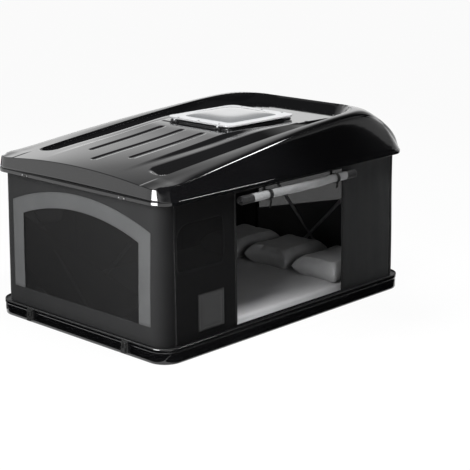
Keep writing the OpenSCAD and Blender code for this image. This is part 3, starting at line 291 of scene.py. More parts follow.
def make_finishes(colours):
    """Makes each finish once."""
    f = FINISHES["shell"] = Finish("gloss_gelcoat", colours.shell, 0.07, coat_weight=0.6, coat_roughness=0.03)
    f.set("Roughness", 0.045 + 0.05 * f.noise(5.0, 4.0))
    f.shade(f.noise(2.0, 2.0), 0.8, 1.2)
    f.bump(f.noise(60.0, 2.0), 0.0002, 0.12)

    f = FINISHES["rubber_seal"] = Finish("seal_rubber", (0.014, 0.014, 0.014), 0.7)
    f.shade(f.noise(90.0), 0.7, 1.3)
    f.bump(f.noise(400.0, 2.0), 0.0003, 0.5)

    f = FINISHES["aluminium"] = Finish("dark_anodised_rail", (0.09, 0.09, 0.095), 0.4, metallic=1.0)
    grain = f.noise(60.0, 3.0, (1.0, 40.0, 40.0))
    f.set("Roughness", 0.3 + 0.25 * grain)
    f.shade(grain, 0.8, 1.2)

    hard("rivet", "bright_rivet", colours.metal, (0.18, 0.2, 300.0), (200.0, 0.8, 1.1), metallic=1.0)
    hard("steel", "zinc_steel", (0.42, 0.42, 0.43), (0.25, 0.25, 180.0), (90.0, 0.75, 1.15), metallic=1.0)
    hard("bracket", "satin_bracket", colours.satin, (0.35, 0.2, 150.0), (40.0, 0.75, 1.3), (700.0, 0.0002, 0.25))
    hard("latch", "moulded_latch", (0.018, 0.018, 0.018), (0.3, 0.25, 120.0), (60.0, 0.75, 1.35),
         (900.0, 0.00015, 0.3))
    hard("frame_plastic", "hatch_frame_plastic", (0.014, 0.014, 0.015), (0.28, 0.2, 120.0), (50.0, 0.8, 1.25),
         (800.0, 0.0002, 0.2))
    hard("lid_plastic", "pale_lid_plastic", colours.lid, (0.26, 0.12, 70.0), (3.0, 0.93, 1.05), (900.0, 0.0002, 0.12),
         coat_weight=0.15)
    hard("strut_tube", "painted_tube", (0.2, 0.2, 0.205), (0.3, 0.15, 50.0), (30.0, 0.8, 1.3), coat_weight=0.1)
    hard("strut_rod", "plated_rod", (0.5, 0.5, 0.51), (0.14, 0.15, 120.0), (60.0, 0.85, 1.1), metallic=1.0)

    f = FINISHES["floor_board"] = Finish("birch_ply", (0.42, 0.30, 0.18), 0.55)
    grain = f.noise(6.0, 6.0, (1.0, 14.0, 1.0))
    f.shade(grain, 0.7, 1.2)
    f.bump(grain, 0.0006, 0.4)

    f = FINISHES["mattress_cover"] = Finish("knitted_cover", colours.mattress, 0.85, sheen_weight=0.15)
    x, y, _ = f.axes(f.place())
    knit = x.wave(0.004) * y.wave(0.003)
    f.shade(f.noise(9.0, 4.0), 0.9, 1.08)
    f.bump(knit * 0.3 + f.noise(30.0, 4.0), 0.0018, 0.5)

    f = FINISHES["pillow_cover"] = Finish("brushed_pillow_cloth", colours.pillow, 0.9, sheen_weight=0.25,
                                          sheen_roughness=0.5)
    x, y, z = f.axes(f.place())
    f.shade(f.noise(14.0, 4.0), 0.85, 1.15)
    f.bump((x + z).wave(0.0016) * (y - z).wave(0.0016) * 0.15 + f.noise(45.0, 3.0), 0.0016, 0.4)

    f = canvas("wall_fabric", "wall_canvas", colours.wall, 0.78, 0.08)
    _, y, _ = f.axes(f.place())
    # Painted shade: near the corners, where the cloth turns towards the long walls, the end wall's colour blends into
    # the darker side colour.
    corner_shade = ((abs(y) - 0.59) / 0.1).maths("MAXIMUM", 0.0).maths("MINIMUM", 1.0)
    f.mix(corner_shade, f.tone(), (*colours.side, 1.0))
    # Painted shade: the long walls and the far door take this darker copy of the end wall canvas.
    canvas("shaded_side_fabric", "side_canvas", colours.side, 0.78, 0.03)
    canvas("blind_fabric", "blind_cloth", colours.blind, 0.8, 0.03, fuzz=0.5, period=0.0016, spread=0.2)
    canvas("panel_fabric", "panel_canvas", colours.panel, 0.75, 0.08, crumple=30.0, blotch=6.0)

    f = FINISHES["mesh"] = Finish("insect_mesh", colours.mesh, 0.7, specular_ior_level=0.12)
    u, v, _ = f.cloth_axes()
    threads = (abs(u.wave(0.0032)) < 0.55).maths("MAXIMUM", abs(v.wave(0.0032)) < 0.55)
    f.set("Alpha", 0.86 + 0.13 * threads)
    f.shade(f.noise(20.0), 0.8, 1.2)

    f = FINISHES["trim_fabric"] = Finish("trim_tape", colours.trim, 0.7, specular_ior_level=0.12, sheen_weight=0.1)
    u, v, _ = f.cloth_axes()
    seams = stitches(u, v, 0.006) + stitches(u, v, 0.086)
    f.bump((u + v).wave(0.0024) * (u - v).wave(0.0024) * 0.4 + f.noise(24.0, 3.0) * 1.5 - seams * 2.0, 0.0005, 0.5)
    f.shade(f.noise(4.0, 4.0) - seams * 0.5, 0.75, 1.2)

    f = FINISHES["webbing"] = Finish("ribbed_webbing", colours.webbing, 0.6, specular_ior_level=0.3)
    u, v, _ = f.cloth_axes()
    f.bump(v.wave(0.003) + u.wave(0.0022) * 0.6, 0.0004, 0.7)
    f.shade(f.noise(60.0), 0.7, 1.5)

    f = FINISHES["pocket_fabric"] = Finish("coarse_pocket_cloth", colours.pocket, 0.65, specular_ior_level=0.12,
                                           sheen_weight=0.15)
    u, v, _ = f.cloth_axes()
    basket = u.wave(0.005) * v.wave(0.005)
    f.bump(basket, 0.0007, 0.7)
    # The base colour follows the weave's height: painted highlight on the crowns of the threads, painted shade between
    # them, and a random tone.
    f.shade(0.5 + 0.35 * basket + 0.3 * (f.noise(60.0) - 0.5), 0.7, 1.45)

    f = FINISHES["roll_fabric"] = Finish("silvered_lining", colours.roll, 0.5, specular_ior_level=0.15,
                                         sheen_weight=0.1)
    creases = f.noise(16.0, 4.0, (0.45, 1.0, 1.0))
    f.bump(creases + 0.4 * f.noise(60.0, 3.0), 0.010, 0.8)
    # The base colour follows the crease height: painted shade in the hollows of the creases and painted highlight on
    # their crowns.
    f.shade(creases, 0.6, 1.3)
    x, _, _ = f.axes(f.place())
    edge = x + 0.05 * (f.noise(14.0) - 0.5)
    bound = (edge < ROLL_X0 + 0.09).maths("MAXIMUM", edge > ROLL_X1 - 0.08)
    f.mix(bound, f.tone(), (0.012, 0.012, 0.0125, 1.0))

    f = FINISHES["dome_plastic"] = Finish("smoked_dome", colours.dome, 0.08, coat_weight=1.0, coat_roughness=0.03)
    f.set("Roughness", 0.06 + 0.06 * f.noise(8.0, 4.0))
    f.shade(f.noise(3.0, 2.0), 0.9, 1.1)


# Shaping helpers

def clamp01(value):
    return min(1.0, max(0.0, value))


def ease(low, high, value):
    t = clamp01((value - low) / (high - low))
    return t * t * (3 - 2 * t)


def lerp(a, b, t):
    return a + (b - a) * t


def smooth_min(a, b, k):
    h = max(k - abs(a - b), 0.0) / k
    return min(a, b) - h * h * k / 4


def wander(x, y, seed, scale):
    """Smooth noise from about -1 to 1 that is the same on each run."""
    return noise.noise(Vector((x * scale + seed * 7.3, y * scale - seed * 3.1, seed * 1.7)))


def lines(low, high, step):
    count = max(1, round((high - low) / step))
    return [lerp(low, high, i / count) for i in range(count + 1)]


def merged(*groups):
    """The values of several lists in order, each once."""
    kept = []
    for value in sorted(v for group in groups for v in group):
        if not kept or value - kept[-1] > 1e-4:
            kept.append(value)
    return kept


def lay(bm, us, vs, place, flip=False):
    """Adds a grid with a line at each of us and vs, puts each crossing at place(u, v) and keeps it as its UV."""
    uv = bm.loops.layers.uv.verify()
    columns = len(us) - 1
    rows = len(vs) - 1
    verts = bmesh.ops.create_grid(bm, x_segments=columns, y_segments=rows, size=1.0)["verts"]
    spot = {}
    for vert in verts:
        u = us[round((vert.co.x + 1) / 2 * columns)]
        v = vs[round((vert.co.y + 1) / 2 * rows)]
        spot[vert] = (u, v)
    faces = list({face for vert in verts for face in vert.link_faces})
    for face in faces:
        for loop in face.loops:
            loop[uv].uv = spot[loop.vert]
    for vert, (u, v) in spot.items():
        vert.co = place(u, v)
    if flip:
        bmesh.ops.reverse_faces(bm, faces=faces)
    return spot


def cut_out(bm, spot, inside):
    """Deletes the faces whose middle, in u and v, lies inside."""
    gone = []
    for face in bm.faces:
        marks = [spot[v] for v in face.verts if v in spot]
        if marks:
            u = sum(m[0] for m in marks) / len(marks)
            v = sum(m[1] for m in marks) / len(marks)
            if inside(u, v):
                gone.append(face)
    bmesh.ops.delete(bm, geom=gone, context="FACES")


def map_uv(bm, spot, place):
    """Puts the UV map of a sheet that was laid in one go at place(u, v)."""
    uv = bm.loops.layers.uv.verify()
    for face in bm.faces:
        for loop in face.loops:
            loop[uv].uv = place(*spot[loop.vert])


def straighten(bm, spot, height):
    """Puts true heights in the UV map of a sheet whose rows were bands."""
    map_uv(bm, spot, lambda u, v: (u, height(u, v)))


def weld(bm):
    """Merges doubles."""
    bmesh.ops.remove_doubles(bm, verts=bm.verts, dist=1e-6)


def piece(bm, name, slot, body, *nodes, finish=None, sharp=40.0):
    """Makes the bmesh a piece that rides on a body and stands for CAD nodes."""
    mesh = bpy.data.meshes.new(name)
    bm.to_mesh(mesh)
    bm.free()
    mesh.shade_smooth()
    mesh.set_sharp_from_angle(angle=math.radians(sharp))
    mesh.materials.append(FINISHES[finish or slot].material)
    made = bpy.data.objects.new(name, mesh)
    bpy.context.scene.collection.objects.link(made)
    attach(made, body)
    if nodes:
        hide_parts(*nodes)
    return made


def thicken(made, thickness, offset=-1.0):
    modifier = made.modifiers.new("thickness", "SOLIDIFY")
    modifier.thickness = thickness
    modifier.offset = offset
    modifier.use_even_offset = True


def soften(made):
    modifier = made.modifiers.new("soften", "SUBSURF")
    modifier.levels = 1
    modifier.render_levels = 1


DRAW_IN = 0.0936


def fold_down(made, side=0):
    """Gives a fabric piece its own copy of its mesh; the draw-in of a piece outside the shell's line is worked out but
    not used.
    """
    lean = DRAW_IN * side
    math.sqrt(1 - lean * lean)
    side * ROLL_Y
    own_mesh(made)


def sizes():
    return bpy.context.scene.tent_sizes


def cloth(bm, name, slot, *nodes, thickness=None, offset=-1.0, side=0, **looks):
    """Makes the bmesh a fabric piece with a thickness and a mesh of its own."""
    made = piece(bm, name, slot, "base", *nodes, **looks)
    thicken(made, thickness or sizes().cloth_t, offset)
    fold_down(made, side)
    return made


# Shell

def outline(arc=24, step=0.05):
    """Stations round the shell's plan: a middle and the way out from it."""
    stations = []
    middles = [(CORE_X, CORE_Y), (-CORE_X, CORE_Y), (-CORE_X, -CORE_Y), (CORE_X, -CORE_Y)]
    for k, middle in enumerate(middles):
        following = middles[(k + 1) % 4]
        for i in range(arc + 1):
            angle = math.pi / 2 * (k + i / arc)
            stations.append((Vector(middle), Vector((math.cos(angle), math.sin(angle)))))
        count = math.ceil((Vector(following) - Vector(middle)).length / step)
        for i in range(1, count):
            stations.append((Vector(middle).lerp(Vector(following), i / count), stations[-1][1].copy()))
    return stations


def half_length(y, inset):
    """Half the length of the shell's plan at y, drawn in by an inset."""
    return CORE_X + math.sqrt(max(0.0, (CORNER_R - inset) ** 2 - max(0.0, abs(y) - CORE_Y) ** 2))


def band(bm, profile):
    """Runs a closed profile of insets and heights, in millimetres, round the shell's plan."""
    stations = outline()

    def spot(u, v):
        middle, out = stations[u % len(stations)]
        inset, z = profile[v % len(profile)]
        flat = middle + out * (CORNER_R - inset / 1000)
        return Vector((flat.x, flat.y, z / 1000))

    lay(bm, range(len(stations) + 1), range(len(profile) + 1), spot)
    weld(bm)
    bmesh.ops.recalc_face_normals(bm, faces=bm.faces)


ROOF_IN = 0.003
ROOF_L = HALF_L - ROOF_IN
ROOF_W = HALF_W - ROOF_IN
EDGE = 0.07
END_LEAN = 0.16
BAND_FALL = 0.013
LIP_Y = 0.535
INNER_LIP_Y = 0.39
TIP_X = -0.8025
WALL_FROM = 0.8
PAD_TOP = 0.201
PAD_HX, PAD_HY, PAD_EDGE = 0.305, 0.278, 0.006
HOLE_HX, HOLE_HY = 0.24, 0.22
RIDGE_TOP, PEAK_X, NOSE_FALL, TAIL_FALL = 0.252, 0.88, 0.192, 0.240
NOSE_CROWN, NOSE_LIP = 0.036, 0.002
PANEL_RISE, PANEL_Y0, PANEL_Y1 = 0.019, 0.292, 0.320
VALLEY_DEEP, VALLEY_END_X, VALLEY_TURN_R, CROSSING_HALF = 0.036, 0.875, 0.24, 0.04
GROOVE_R, GROOVE_DEEP, GROOVE_END = 0.0225, 0.0055, -0.184
GROOVE_PITCH, GROOVE_LONG, GROOVE_SHORT = 0.167, 0.716, 0.588
GROOVES = ((0.0, GROOVE_LONG), (GROOVE_PITCH, GROOVE_SHORT), (-GROOVE_PITCH, GROOVE_SHORT))


def ridge(x):
    """Height of the roof's middle line above its rim."""
    if x < PEAK_X:
        return RIDGE_TOP - NOSE_FALL * ((PEAK_X - x) / (PEAK_X + HALF_L)) ** 1.48
    return RIDGE_TOP - TAIL_FALL * ((x - PEAK_X) / (HALF_L - PEAK_X)) ** 2.5


def valley_half(x):
    full = (LIP_Y - INNER_LIP_Y) / 2
    ahead = clamp01((TIP_X - x) / full)
    return max(0.0001, lerp(full, CROSSING_HALF, ease(0.448, 0.798, x)) * math.sqrt(1 - ahead * ahead))


def valley_side(x, y):
    """Distance from the valley's middle line, less than nothing towards the panel."""
    qx = x - VALLEY_END_X + VALLEY_TURN_R
    qy = abs(y) - (LIP_Y + INNER_LIP_Y) / 2 + VALLEY_TURN_R
    return math.hypot(max(qx, 0.0), max(qy, 0.0)) + min(max(qx, qy), 0.0) - VALLEY_TURN_R


def valley_share(x, y):
    """Share of the way across the valley, from its inner to its outer lip."""
    return clamp01(0.5 + valley_side(x, y) / valley_half(x) / 2)


def evenness(x):
    """Share by which the valley's section evens out, towards the tail."""
    return ease(0.3, 0.55, x)


def valley(x, y):
    """Depth of the valley: it falls outwards to a steep wall, and is an even hollow at the tail."""
    k = valley_share(x, y)
    slope = k / WALL_FROM if k < WALL_FROM else math.sqrt((1 - k) / (1 - WALL_FROM))
    hollow = (4 * k * (1 - k)) ** 0.6
    return VALLEY_DEEP * ease(TIP_X - 0.0725, TIP_X - 0.02, x) * lerp(slope, hollow, evenness(x))


def groove(x, y, middle, length):
    """Depth of one groove, a scoop with round ends."""
    near = min(max(x, GROOVE_END - length + GROOVE_R), GROOVE_END - GROOVE_R)
    return GROOVE_DEEP * max(0.0, 1 - (math.hypot(x - near, y - middle) / GROOVE_R) ** 2)


def lean(x):
    """Lean of the long sides, per unit of height."""
    return 0.44 + 0.16 * ease(-0.75, 0.45, x)


def crease_in(x):
    """How far in the long sides meet the top."""
    return max(0.02, lean(x) * (ridge(x) - BAND_FALL))


def roof_top(x, y):
    """Height of the roof above its rim, before its sides fall away."""
    level = ridge(x) + NOSE_CROWN * (1 - ease(-HALF_L, -0.25, x)) * clamp01(1 - y * y / CORE_Y ** 2)
    panel = PANEL_RISE * ease(-1.0, -0.12, x) * (1 - ease(PANEL_Y0, PANEL_Y1, abs(y)))
    band = clamp01((abs(y) - LIP_Y) / (HALF_W - crease_in(x) - LIP_Y))
    fall = BAND_FALL * ease(-HALF_L, -0.74, x) * band ** 4
    k = valley_share(x, y)
    out = lerp(ease(WALL_FROM, 1.0, k), ease(0.0, 1.0, k), evenness(x))
    lip = NOSE_LIP * ease(LIP_Y - 0.004, LIP_Y + 0.004, abs(y)) * (1 - ease(-0.95, -0.88, x))
    grooves = sum(groove(x, y, middle, length) for middle, length in GROOVES)
    free = lerp(smooth_min(level + panel, PAD_TOP, 0.012), level - fall, out) + lip - valley(x, y) - grooves
    share = ease(-PAD_EDGE, 0.0, min(PAD_HX - abs(x - HATCH_X), PAD_HY - abs(y)))
    return lerp(free, PAD_TOP, share)


def depth_in(x, y, inset):
    qx = abs(x) - CORE_X
    qy = abs(y) - CORE_Y
    return CORNER_R - inset - math.hypot(max(qx, 0.0), max(qy, 0.0)) - min(max(qx, qy), 0.0)


def side_top(x, y):
    """Height of the leaning sides and ends."""
    u, v = ROOF_L - abs(x), ROOF_W - abs(y)
    near = min(u, v)
    if near <= 0:
        return 0.0
    return min(u / END_LEAN, v / lean(x)) * max(0.0, depth_in(x, y, ROOF_IN)) / near


def rounded_min(a, b, p):
    """The lesser of two heights, rounded where they meet: the higher p, the sharper."""
    low, high = sorted((a, b))
    return low * (1 + (low / high) ** p) ** (-1 / p) if low > 0 else 0.0


def column_x(value, height):
    """Moves a grid line near the roof's ends so that the line halfway in lies on their crease."""
    share = (ROOF_L - abs(value)) / EDGE
    if share >= 1:
        return value
    crease = END_LEAN * max(0.008, height)
    inset = 2 * share * crease if share < 0.5 else crease + (EDGE - crease) * (2 * share - 1) ** 1.5
    return math.copysign(ROOF_L - inset, value)


def row_y(x, value):
    """Moves a grid line outside the valley so that the line halfway out lies on the sides' crease."""
    share = (abs(value) - LIP_Y) / (ROOF_W - LIP_Y)
    if share <= 0:
        return value
    crease = ROOF_W - crease_in(x)
    y = lerp(LIP_Y, crease, 2 * share) if share < 0.5 else lerp(crease, ROOF_W, 2 * share - 1)
    return math.copysign(y, value)


def roof_point(a, b):
    """A point of the roof's skin from its place in a plain rectangle."""
    y = row_y(a, b)
    x = column_x(a, roof_top(math.copysign(ROOF_L - 0.01, a), y)) / ROOF_L * half_length(y, ROOF_IN)
    sharpness = lerp(24, 2.5, ease(0.5, 0.95, x))
    return Vector((x, y, RIM_TOP + rounded_min(side_top(x, y), roof_top(x, y), sharpness)))


class TENT_OT_roof_shell(bpy.types.Operator):
    """Builds the moulded roof skin"""
    bl_idname = "tent.roof_shell"
    bl_label = "Roof shell"

    def execute(self, context):
        edge = [EDGE * s for s in (0, .1, .2, .3, .38, .43, .46, .48, .49, .5, .51, .52, .54, .57, .61, .66, .72, .79,
                                   .86, .93)]
        shares = (0.02, 0.05, 0.1, 0.17, 0.24, 0.31, 0.37, 0.42, 0.45, 0.47, 0.48, 0.488, 0.494, 0.5, 0.506, 0.512,
                  0.52, 0.535, 0.56, 0.6, 0.66, 0.73, 0.8, 0.87, 0.93, 0.97, 1.0)
        outer = [lerp(LIP_Y, ROOF_W, share) for share in shares]
        hole_x = [HATCH_X - HOLE_HX, HATCH_X + HOLE_HX]
        pad = [HATCH_X + k * (PAD_HX + d) for k in (-1, 1) for d in (0.0, 0.003, PAD_EDGE)]
        ends = [GROOVE_END - length + d for length in (0.0, GROOVE_LONG, GROOVE_SHORT)
                for d in (-0.002, 0.003, 0.008, 0.013)]
        us = merged([k * (ROOF_L - e) for k in (-1, 1) for e in edge], lines(EDGE - ROOF_L, ROOF_L - EDGE, 0.0155),
                    lines(-0.885, -0.785, 0.006), lines(0.68, 0.975, 0.008), hole_x, pad, ends)
        steps = [HOLE_HY, PAD_HY, 0.281, 0.284, PANEL_Y0, 0.306, PANEL_Y1, 0.335, 0.352, 0.37]
        part = [0.0, 0.005, 0.018, 0.04, 0.075, 0.125, 0.19, 0.275, 0.375, 0.5]
        across = [lerp(INNER_LIP_Y, LIP_Y, t) for p in part for t in (p, 1 - p)]
        walls = [middle + k * d for middle, _ in GROOVES for k in (-1, 1) for d in (0.0, 0.006, 0.012, 0.018, GROOVE_R)]
        vs = merged(lines(-0.28, 0.28, 0.0155), [k * s for k in (-1, 1) for s in steps + across + outer], walls)
        bm = bmesh.new()
        spot = lay(bm, us, vs, roof_point)
        cut_out(bm, spot, lambda u, v: abs(u - HATCH_X) < HOLE_HX and abs(v) < HOLE_HY)
        weld(bm)
        made = piece(bm, "roof_skin", "shell", "roof", "roof_shell", "hatch_pad", sharp=60.0)
        thicken(made, sizes().roof_t)
        return {"FINISHED"}


class TENT_OT_shell_bands(bpy.types.Operator):
    """Builds the roof's rim band, the tray and its seal"""
    bl_idname = "tent.shell_bands"
    bl_label = "Rim, tray and seal"

    def execute(self, context):
        bm = bmesh.new()
        band(bm, [(20, 868), (2.6, 868), (1.2, 868.5), (0.3, 869.6), (0, 871), (0, 878), (0, 885), (0.3, 887),
                  (1.0, 888.6), (2.0, 889.8), (3.2, 890.6), (5, 891), (20, 891)])
        piece(bm, "roof_rim_band", "shell", "roof", "roof_rim")

        bm = bmesh.new()
        band(bm, [(8, 88), (1.6, 88), (0.6, 87.5), (0, 86.4), (0, 80), (0, 72), (0.4, 69.4), (1.4, 67.6),
                  (2.6, 66.6), (3.4, 65), (3.6, 62), (3.4, 58), (3.0, 54), (3, 40), (3, 20), (3.2, 11), (4.0, 6.4),
                  (5.6, 3), (8, 0.9), (11, 0), (11, 5), (9.4, 6), (8.4, 8), (8, 11)])
        step, floor_in, channel_top = 0.0004, 0.009, 0.0265
        rail_y, reach_x, reach_y = 0.4, 0.8405, 0.030
        channel_y = [k * rail_y + d * reach_y for k in (-1, 1) for d in (-1, 1)]
        us = merged([-1.05, 1.05], lines(-0.94, 0.94, 0.09), [k * reach_x for k in (-1, 1)],
                    [k * (reach_x + step) for k in (-1, 1)])
        vs = merged([-0.725, -0.6, 0.6, 0.725], channel_y,
                    [k * rail_y + d * (reach_y + step) for k in (-1, 1) for d in (-1, 1)], lines(-0.3, 0.3, 0.1))

        def floor(u, v):
            inside = abs(u) <= reach_x + step / 2 and abs(abs(v) - rail_y) <= reach_y + step / 2
            y = v / HALF_W * (HALF_W - floor_in)
            x = u / HALF_L * half_length(y, floor_in) if abs(u) > 0.9 else u
            return Vector((x, v if abs(v) < 0.61 else y, channel_top if inside else 0.0002))

        sheet = bmesh.new()
        lay(sheet, us, vs, floor, flip=True)
        mesh = bpy.data.meshes.new("tray_floor")
        sheet.to_mesh(mesh)
        sheet.free()
        bm.from_mesh(mesh)
        bpy.data.meshes.remove(mesh)
        piece(bm, "tray_body", "shell", "base", "base_tray", sharp=50.0)

        bm = bmesh.new()
        band(bm, [(6.5, 88), (1.5, 88), (1.5, 90), (2.1, 91), (3.2, 91.5), (4.8, 91.5), (5.9, 91), (6.5, 90)])
        piece(bm, "tray_seal", "rubber_seal", "base", "tray_rim_seal")
        return {"FINISHED"}


# Fabric walls

def wall_inset(z):
    """How far the cloth stands inside the shell's outline at a height."""
    lean = sizes().wall_lean
    low = 0.0015 * ease(0.084, 0.115, z) * (1 - ease(0.125, 0.3, z))
    high = lean * ease(0.25, 0.80, z) * (1 - ease(0.850, 0.872, z))
    return WALL_IN - low + high


def wrinkle(u, z, seed):
    """Soft dips that fade at the clamped edges."""
    hold = ease(0.084, 0.2, z) * (1 - ease(0.78, 0.868, z))
    broad = wander(u, z, seed, 2.6)
    drag = wander(u * 2.4, z * 0.7, seed + 5, 4.5)
    return sizes().wrinkle * hold * (1.2 * broad + 0.7 * drag)


def arch_top(y, half, shoulder, crown):
    rise = crown - shoulder
    radius = (half * half + rise * rise) / (2 * rise)
    return crown - radius + math.sqrt(radius * radius - min(abs(y), half) ** 2)


def end_spot(e, s, z, out=0.0):
    """A point of an end wall from its distance s along the cloth, measured from the middle."""
    radius = CORNER_R - WALL_IN
    inset = wall_inset(z) + wrinkle(s, z, 2 + e) - out
    side = 1 if s > 0 else -1
    turn = max(0.0, abs(s) - CORE_Y) / radius
    flat = Vector((CORE_X, side * min(abs(s), CORE_Y)))
    flat += Vector((math.cos(turn), side * math.sin(turn))) * (CORNER_R - inset)
    return Vector((e * flat.x, flat.y, z))


def side_spot(k, x, z, out=0.0):
    """A point of a long wall."""
    inset = wall_inset(z) + wrinkle(x, z, 8 + k) - out
    return Vector((x, k * (HALF_W - inset), z))


END_REACH = CORE_Y + math.pi / 2 * (CORNER_R - WALL_IN)


class TENT_OT_end_walls(bpy.types.Operator):
    """Builds the front and rear walls with their arched openings"""
    bl_idname = "tent.end_walls"
    bl_label = "End walls"

    def execute(self, context):
        corner = [k * s for k in (-1, 1) for s in lines(CORE_Y, END_REACH, 0.011)]
        us = merged(corner, lines(-CORE_Y, CORE_Y, 0.02), [-WINDOW_HW, WINDOW_HW])
        vs = lines(0, 1, 1 / 14) + lines(1, 2, 1 / 24)[1:] + lines(2, 3, 1 / 16)[1:]

        def height(s, v):
            top = arch_top(s, WINDOW_HW, WINDOW_SHOULDER, WINDOW_CROWN)
            if v <= 1:
                return lerp(WALL_Z0, WINDOW_SILL, v)
            if v <= 2:
                return lerp(WINDOW_SILL, top, v - 1)
            return lerp(top, WALL_Z1, v - 2)

        for e, name in ENDS:
            bm = bmesh.new()
            spot = lay(bm, us, vs, lambda s, v: end_spot(e, s, height(s, v)), flip=e < 0)
            cut_out(bm, spot, lambda s, v: abs(s) < WINDOW_HW and 1 < v < 2)
            straighten(bm, spot, height)
            made = cloth(bm, name + "_wall_cloth", "wall_fabric", name + "_wall", sharp=70.0)
        return {"FINISHED"}


def side_window_ends(x):
    """Lower and upper edge of the side window at x."""
    x = min(max(x, SIDE_X0), SIDE_X1)

    def drop(distance, radius):
        q = max(0.0, radius - distance)
        return radius - math.sqrt(max(0.0, radius * radius - q * q))

    low = SIDE_Z0 + max(drop(x - SIDE_X0, SIDE_R), drop(SIDE_X1 - x, SIDE_R))
    high = SIDE_Z1 - max(drop(x - SIDE_X0, SIDE_R_FRONT), drop(SIDE_X1 - x, SIDE_R))
    return low, high


class TENT_OT_side_walls(bpy.types.Operator):
    """Builds the long walls with their windows and door openings"""
    bl_idname = "tent.side_walls"
    bl_label = "Side walls"

    def execute(self, context):
        corners = ((SIDE_X0, SIDE_R_FRONT, 12), (SIDE_X0, SIDE_R, 6), (SIDE_X1, -SIDE_R, 6))
        arcs = [x + radius * (1 - math.cos(math.pi / 2 * i / n)) for x, radius, n in corners for i in range(n + 1)]
        us = merged(lines(-CORE_X, SIDE_X0, 0.016), arcs, lines(SIDE_X0 + SIDE_R_FRONT, SIDE_X1 - SIDE_R, 0.02),
                    lines(SIDE_X1, DOOR_X0, 0.018), lines(DOOR_X0, DOOR_X1, 0.03))
        vs = [0, 0.5, 1] + lines(1, 2, 1 / 18)[1:] + lines(2, 3, 1 / 14)[1:] + lines(3, 4, 1 / 6)[1:] + [4.5, 5]

        def height(x, v):
            low, high = side_window_ends(x)
            stops = [WALL_Z0, DOOR_Z0, low, high, DOOR_Z1, WALL_Z1]
            k = min(int(v), 4)
            return lerp(stops[k], stops[k + 1], v - k)

        for k, name in SIDES:
            bm = bmesh.new()
            spot = lay(bm, us, vs, lambda x, v: side_spot(k, x, height(x, v)), flip=k > 0)
            cut_out(bm, spot, lambda x, v: (SIDE_X0 < x < SIDE_X1 and 2 < v < 3) or (x > DOOR_X0 and 1 < v < 4))
            straighten(bm, spot, height)
            # The long walls take the darker side canvas, whose colour is painted shade.
            made = cloth(bm, name + "_wall_cloth", "wall_fabric", name + "_wall", finish="shaded_side_fabric",
                         sharp=70.0)
        return {"FINISHED"}


class TENT_OT_rear_panels(bpy.types.Operator):
    """Builds the cloth behind the doors, which hangs in upright folds"""
    bl_idname = "tent.rear_panels"
    bl_label = "Rear panels"

    def execute(self, context):
        us = lines(DOOR_X1, CORE_X, 0.0066)
        vs = lines(WALL_Z0, WALL_Z1, 0.0165)
        depth = sizes().fold

        def spot(k, x, z):
            t = (x - DOOR_X1) / (CORE_X - DOOR_X1)
            edge = ease(0.05, 0.22, t) * (1 - ease(0.86, 1.0, t))
            level = ease(0.075, 0.26, z) * (1 - ease(0.75, 0.876, z))
            turn = t + 0.08 * (z - WALL_Z0) / (WALL_Z1 - WALL_Z0) + 0.05 * wander(t, z, 3 + k, 3.0)
            fold = (math.cos(2 * math.pi * 2.3 * turn) - 1) / 2 + 0.2 * math.cos(2 * math.pi * 4.7 * turn + 1.3)
            shallow = 0.55 + 0.45 * wander(t * 2, z, 11, 1.5)
            return side_spot(k, x, z, out=depth * edge * level * shallow * min(0.0, fold))

        for k, name in SIDES:
            bm = bmesh.new()
            lay(bm, us, vs, lambda x, z: spot(k, x, z), flip=k > 0)
            made = cloth(bm, name + "_rear_cloth", "wall_fabric", name + "_rear_panel",
                         finish="panel_fabric", sharp=80.0)
        return {"FINISHED"}


class TENT_OT_window_meshes(bpy.types.Operator):
    """Builds the insect meshes behind the windows"""
    bl_idname = "tent.window_meshes"
    bl_label = "Window meshes"

    def execute(self, context):
        lap = 0.018
        half = WINDOW_HW + lap
        vs = lines(0, 1, 1 / 28)

        def height(y, v):
            return lerp(WINDOW_SILL - lap, arch_top(y, half, WINDOW_SHOULDER + lap, WINDOW_CROWN + lap), v)

        for e, name in ENDS:
            bm = bmesh.new()
            spot = lay(bm, lines(-half, half, 0.02), vs,
                       lambda y, v: end_spot(e, y, height(y, v), out=-0.0032 - 0.003 * math.sin(math.pi * v)
                                             * math.cos(math.pi / 2 * y / half)), flip=e < 0)
            straighten(bm, spot, height)
            made = piece(bm, name + "_insect_mesh", "mesh", "base", name + "_window_mesh")
            fold_down(made)

        def side_height(x, v):
            low, high = side_window_ends(x)
            return lerp(low - 0.014, high + 0.014, v)

        for k, name in SIDES:
            bm = bmesh.new()
            spot = lay(bm, lines(SIDE_X0 - 0.014, SIDE_X1 + 0.014, 0.014), lines(0, 1, 1 / 16),
                       lambda x, v: side_spot(k, x, side_height(x, v), out=-0.0032), flip=k > 0)
            straighten(bm, spot, side_height)
            made = piece(bm, name + "_insect_mesh", "mesh", "base", name + "_window_mesh")
            fold_down(made)
        return {"FINISHED"}


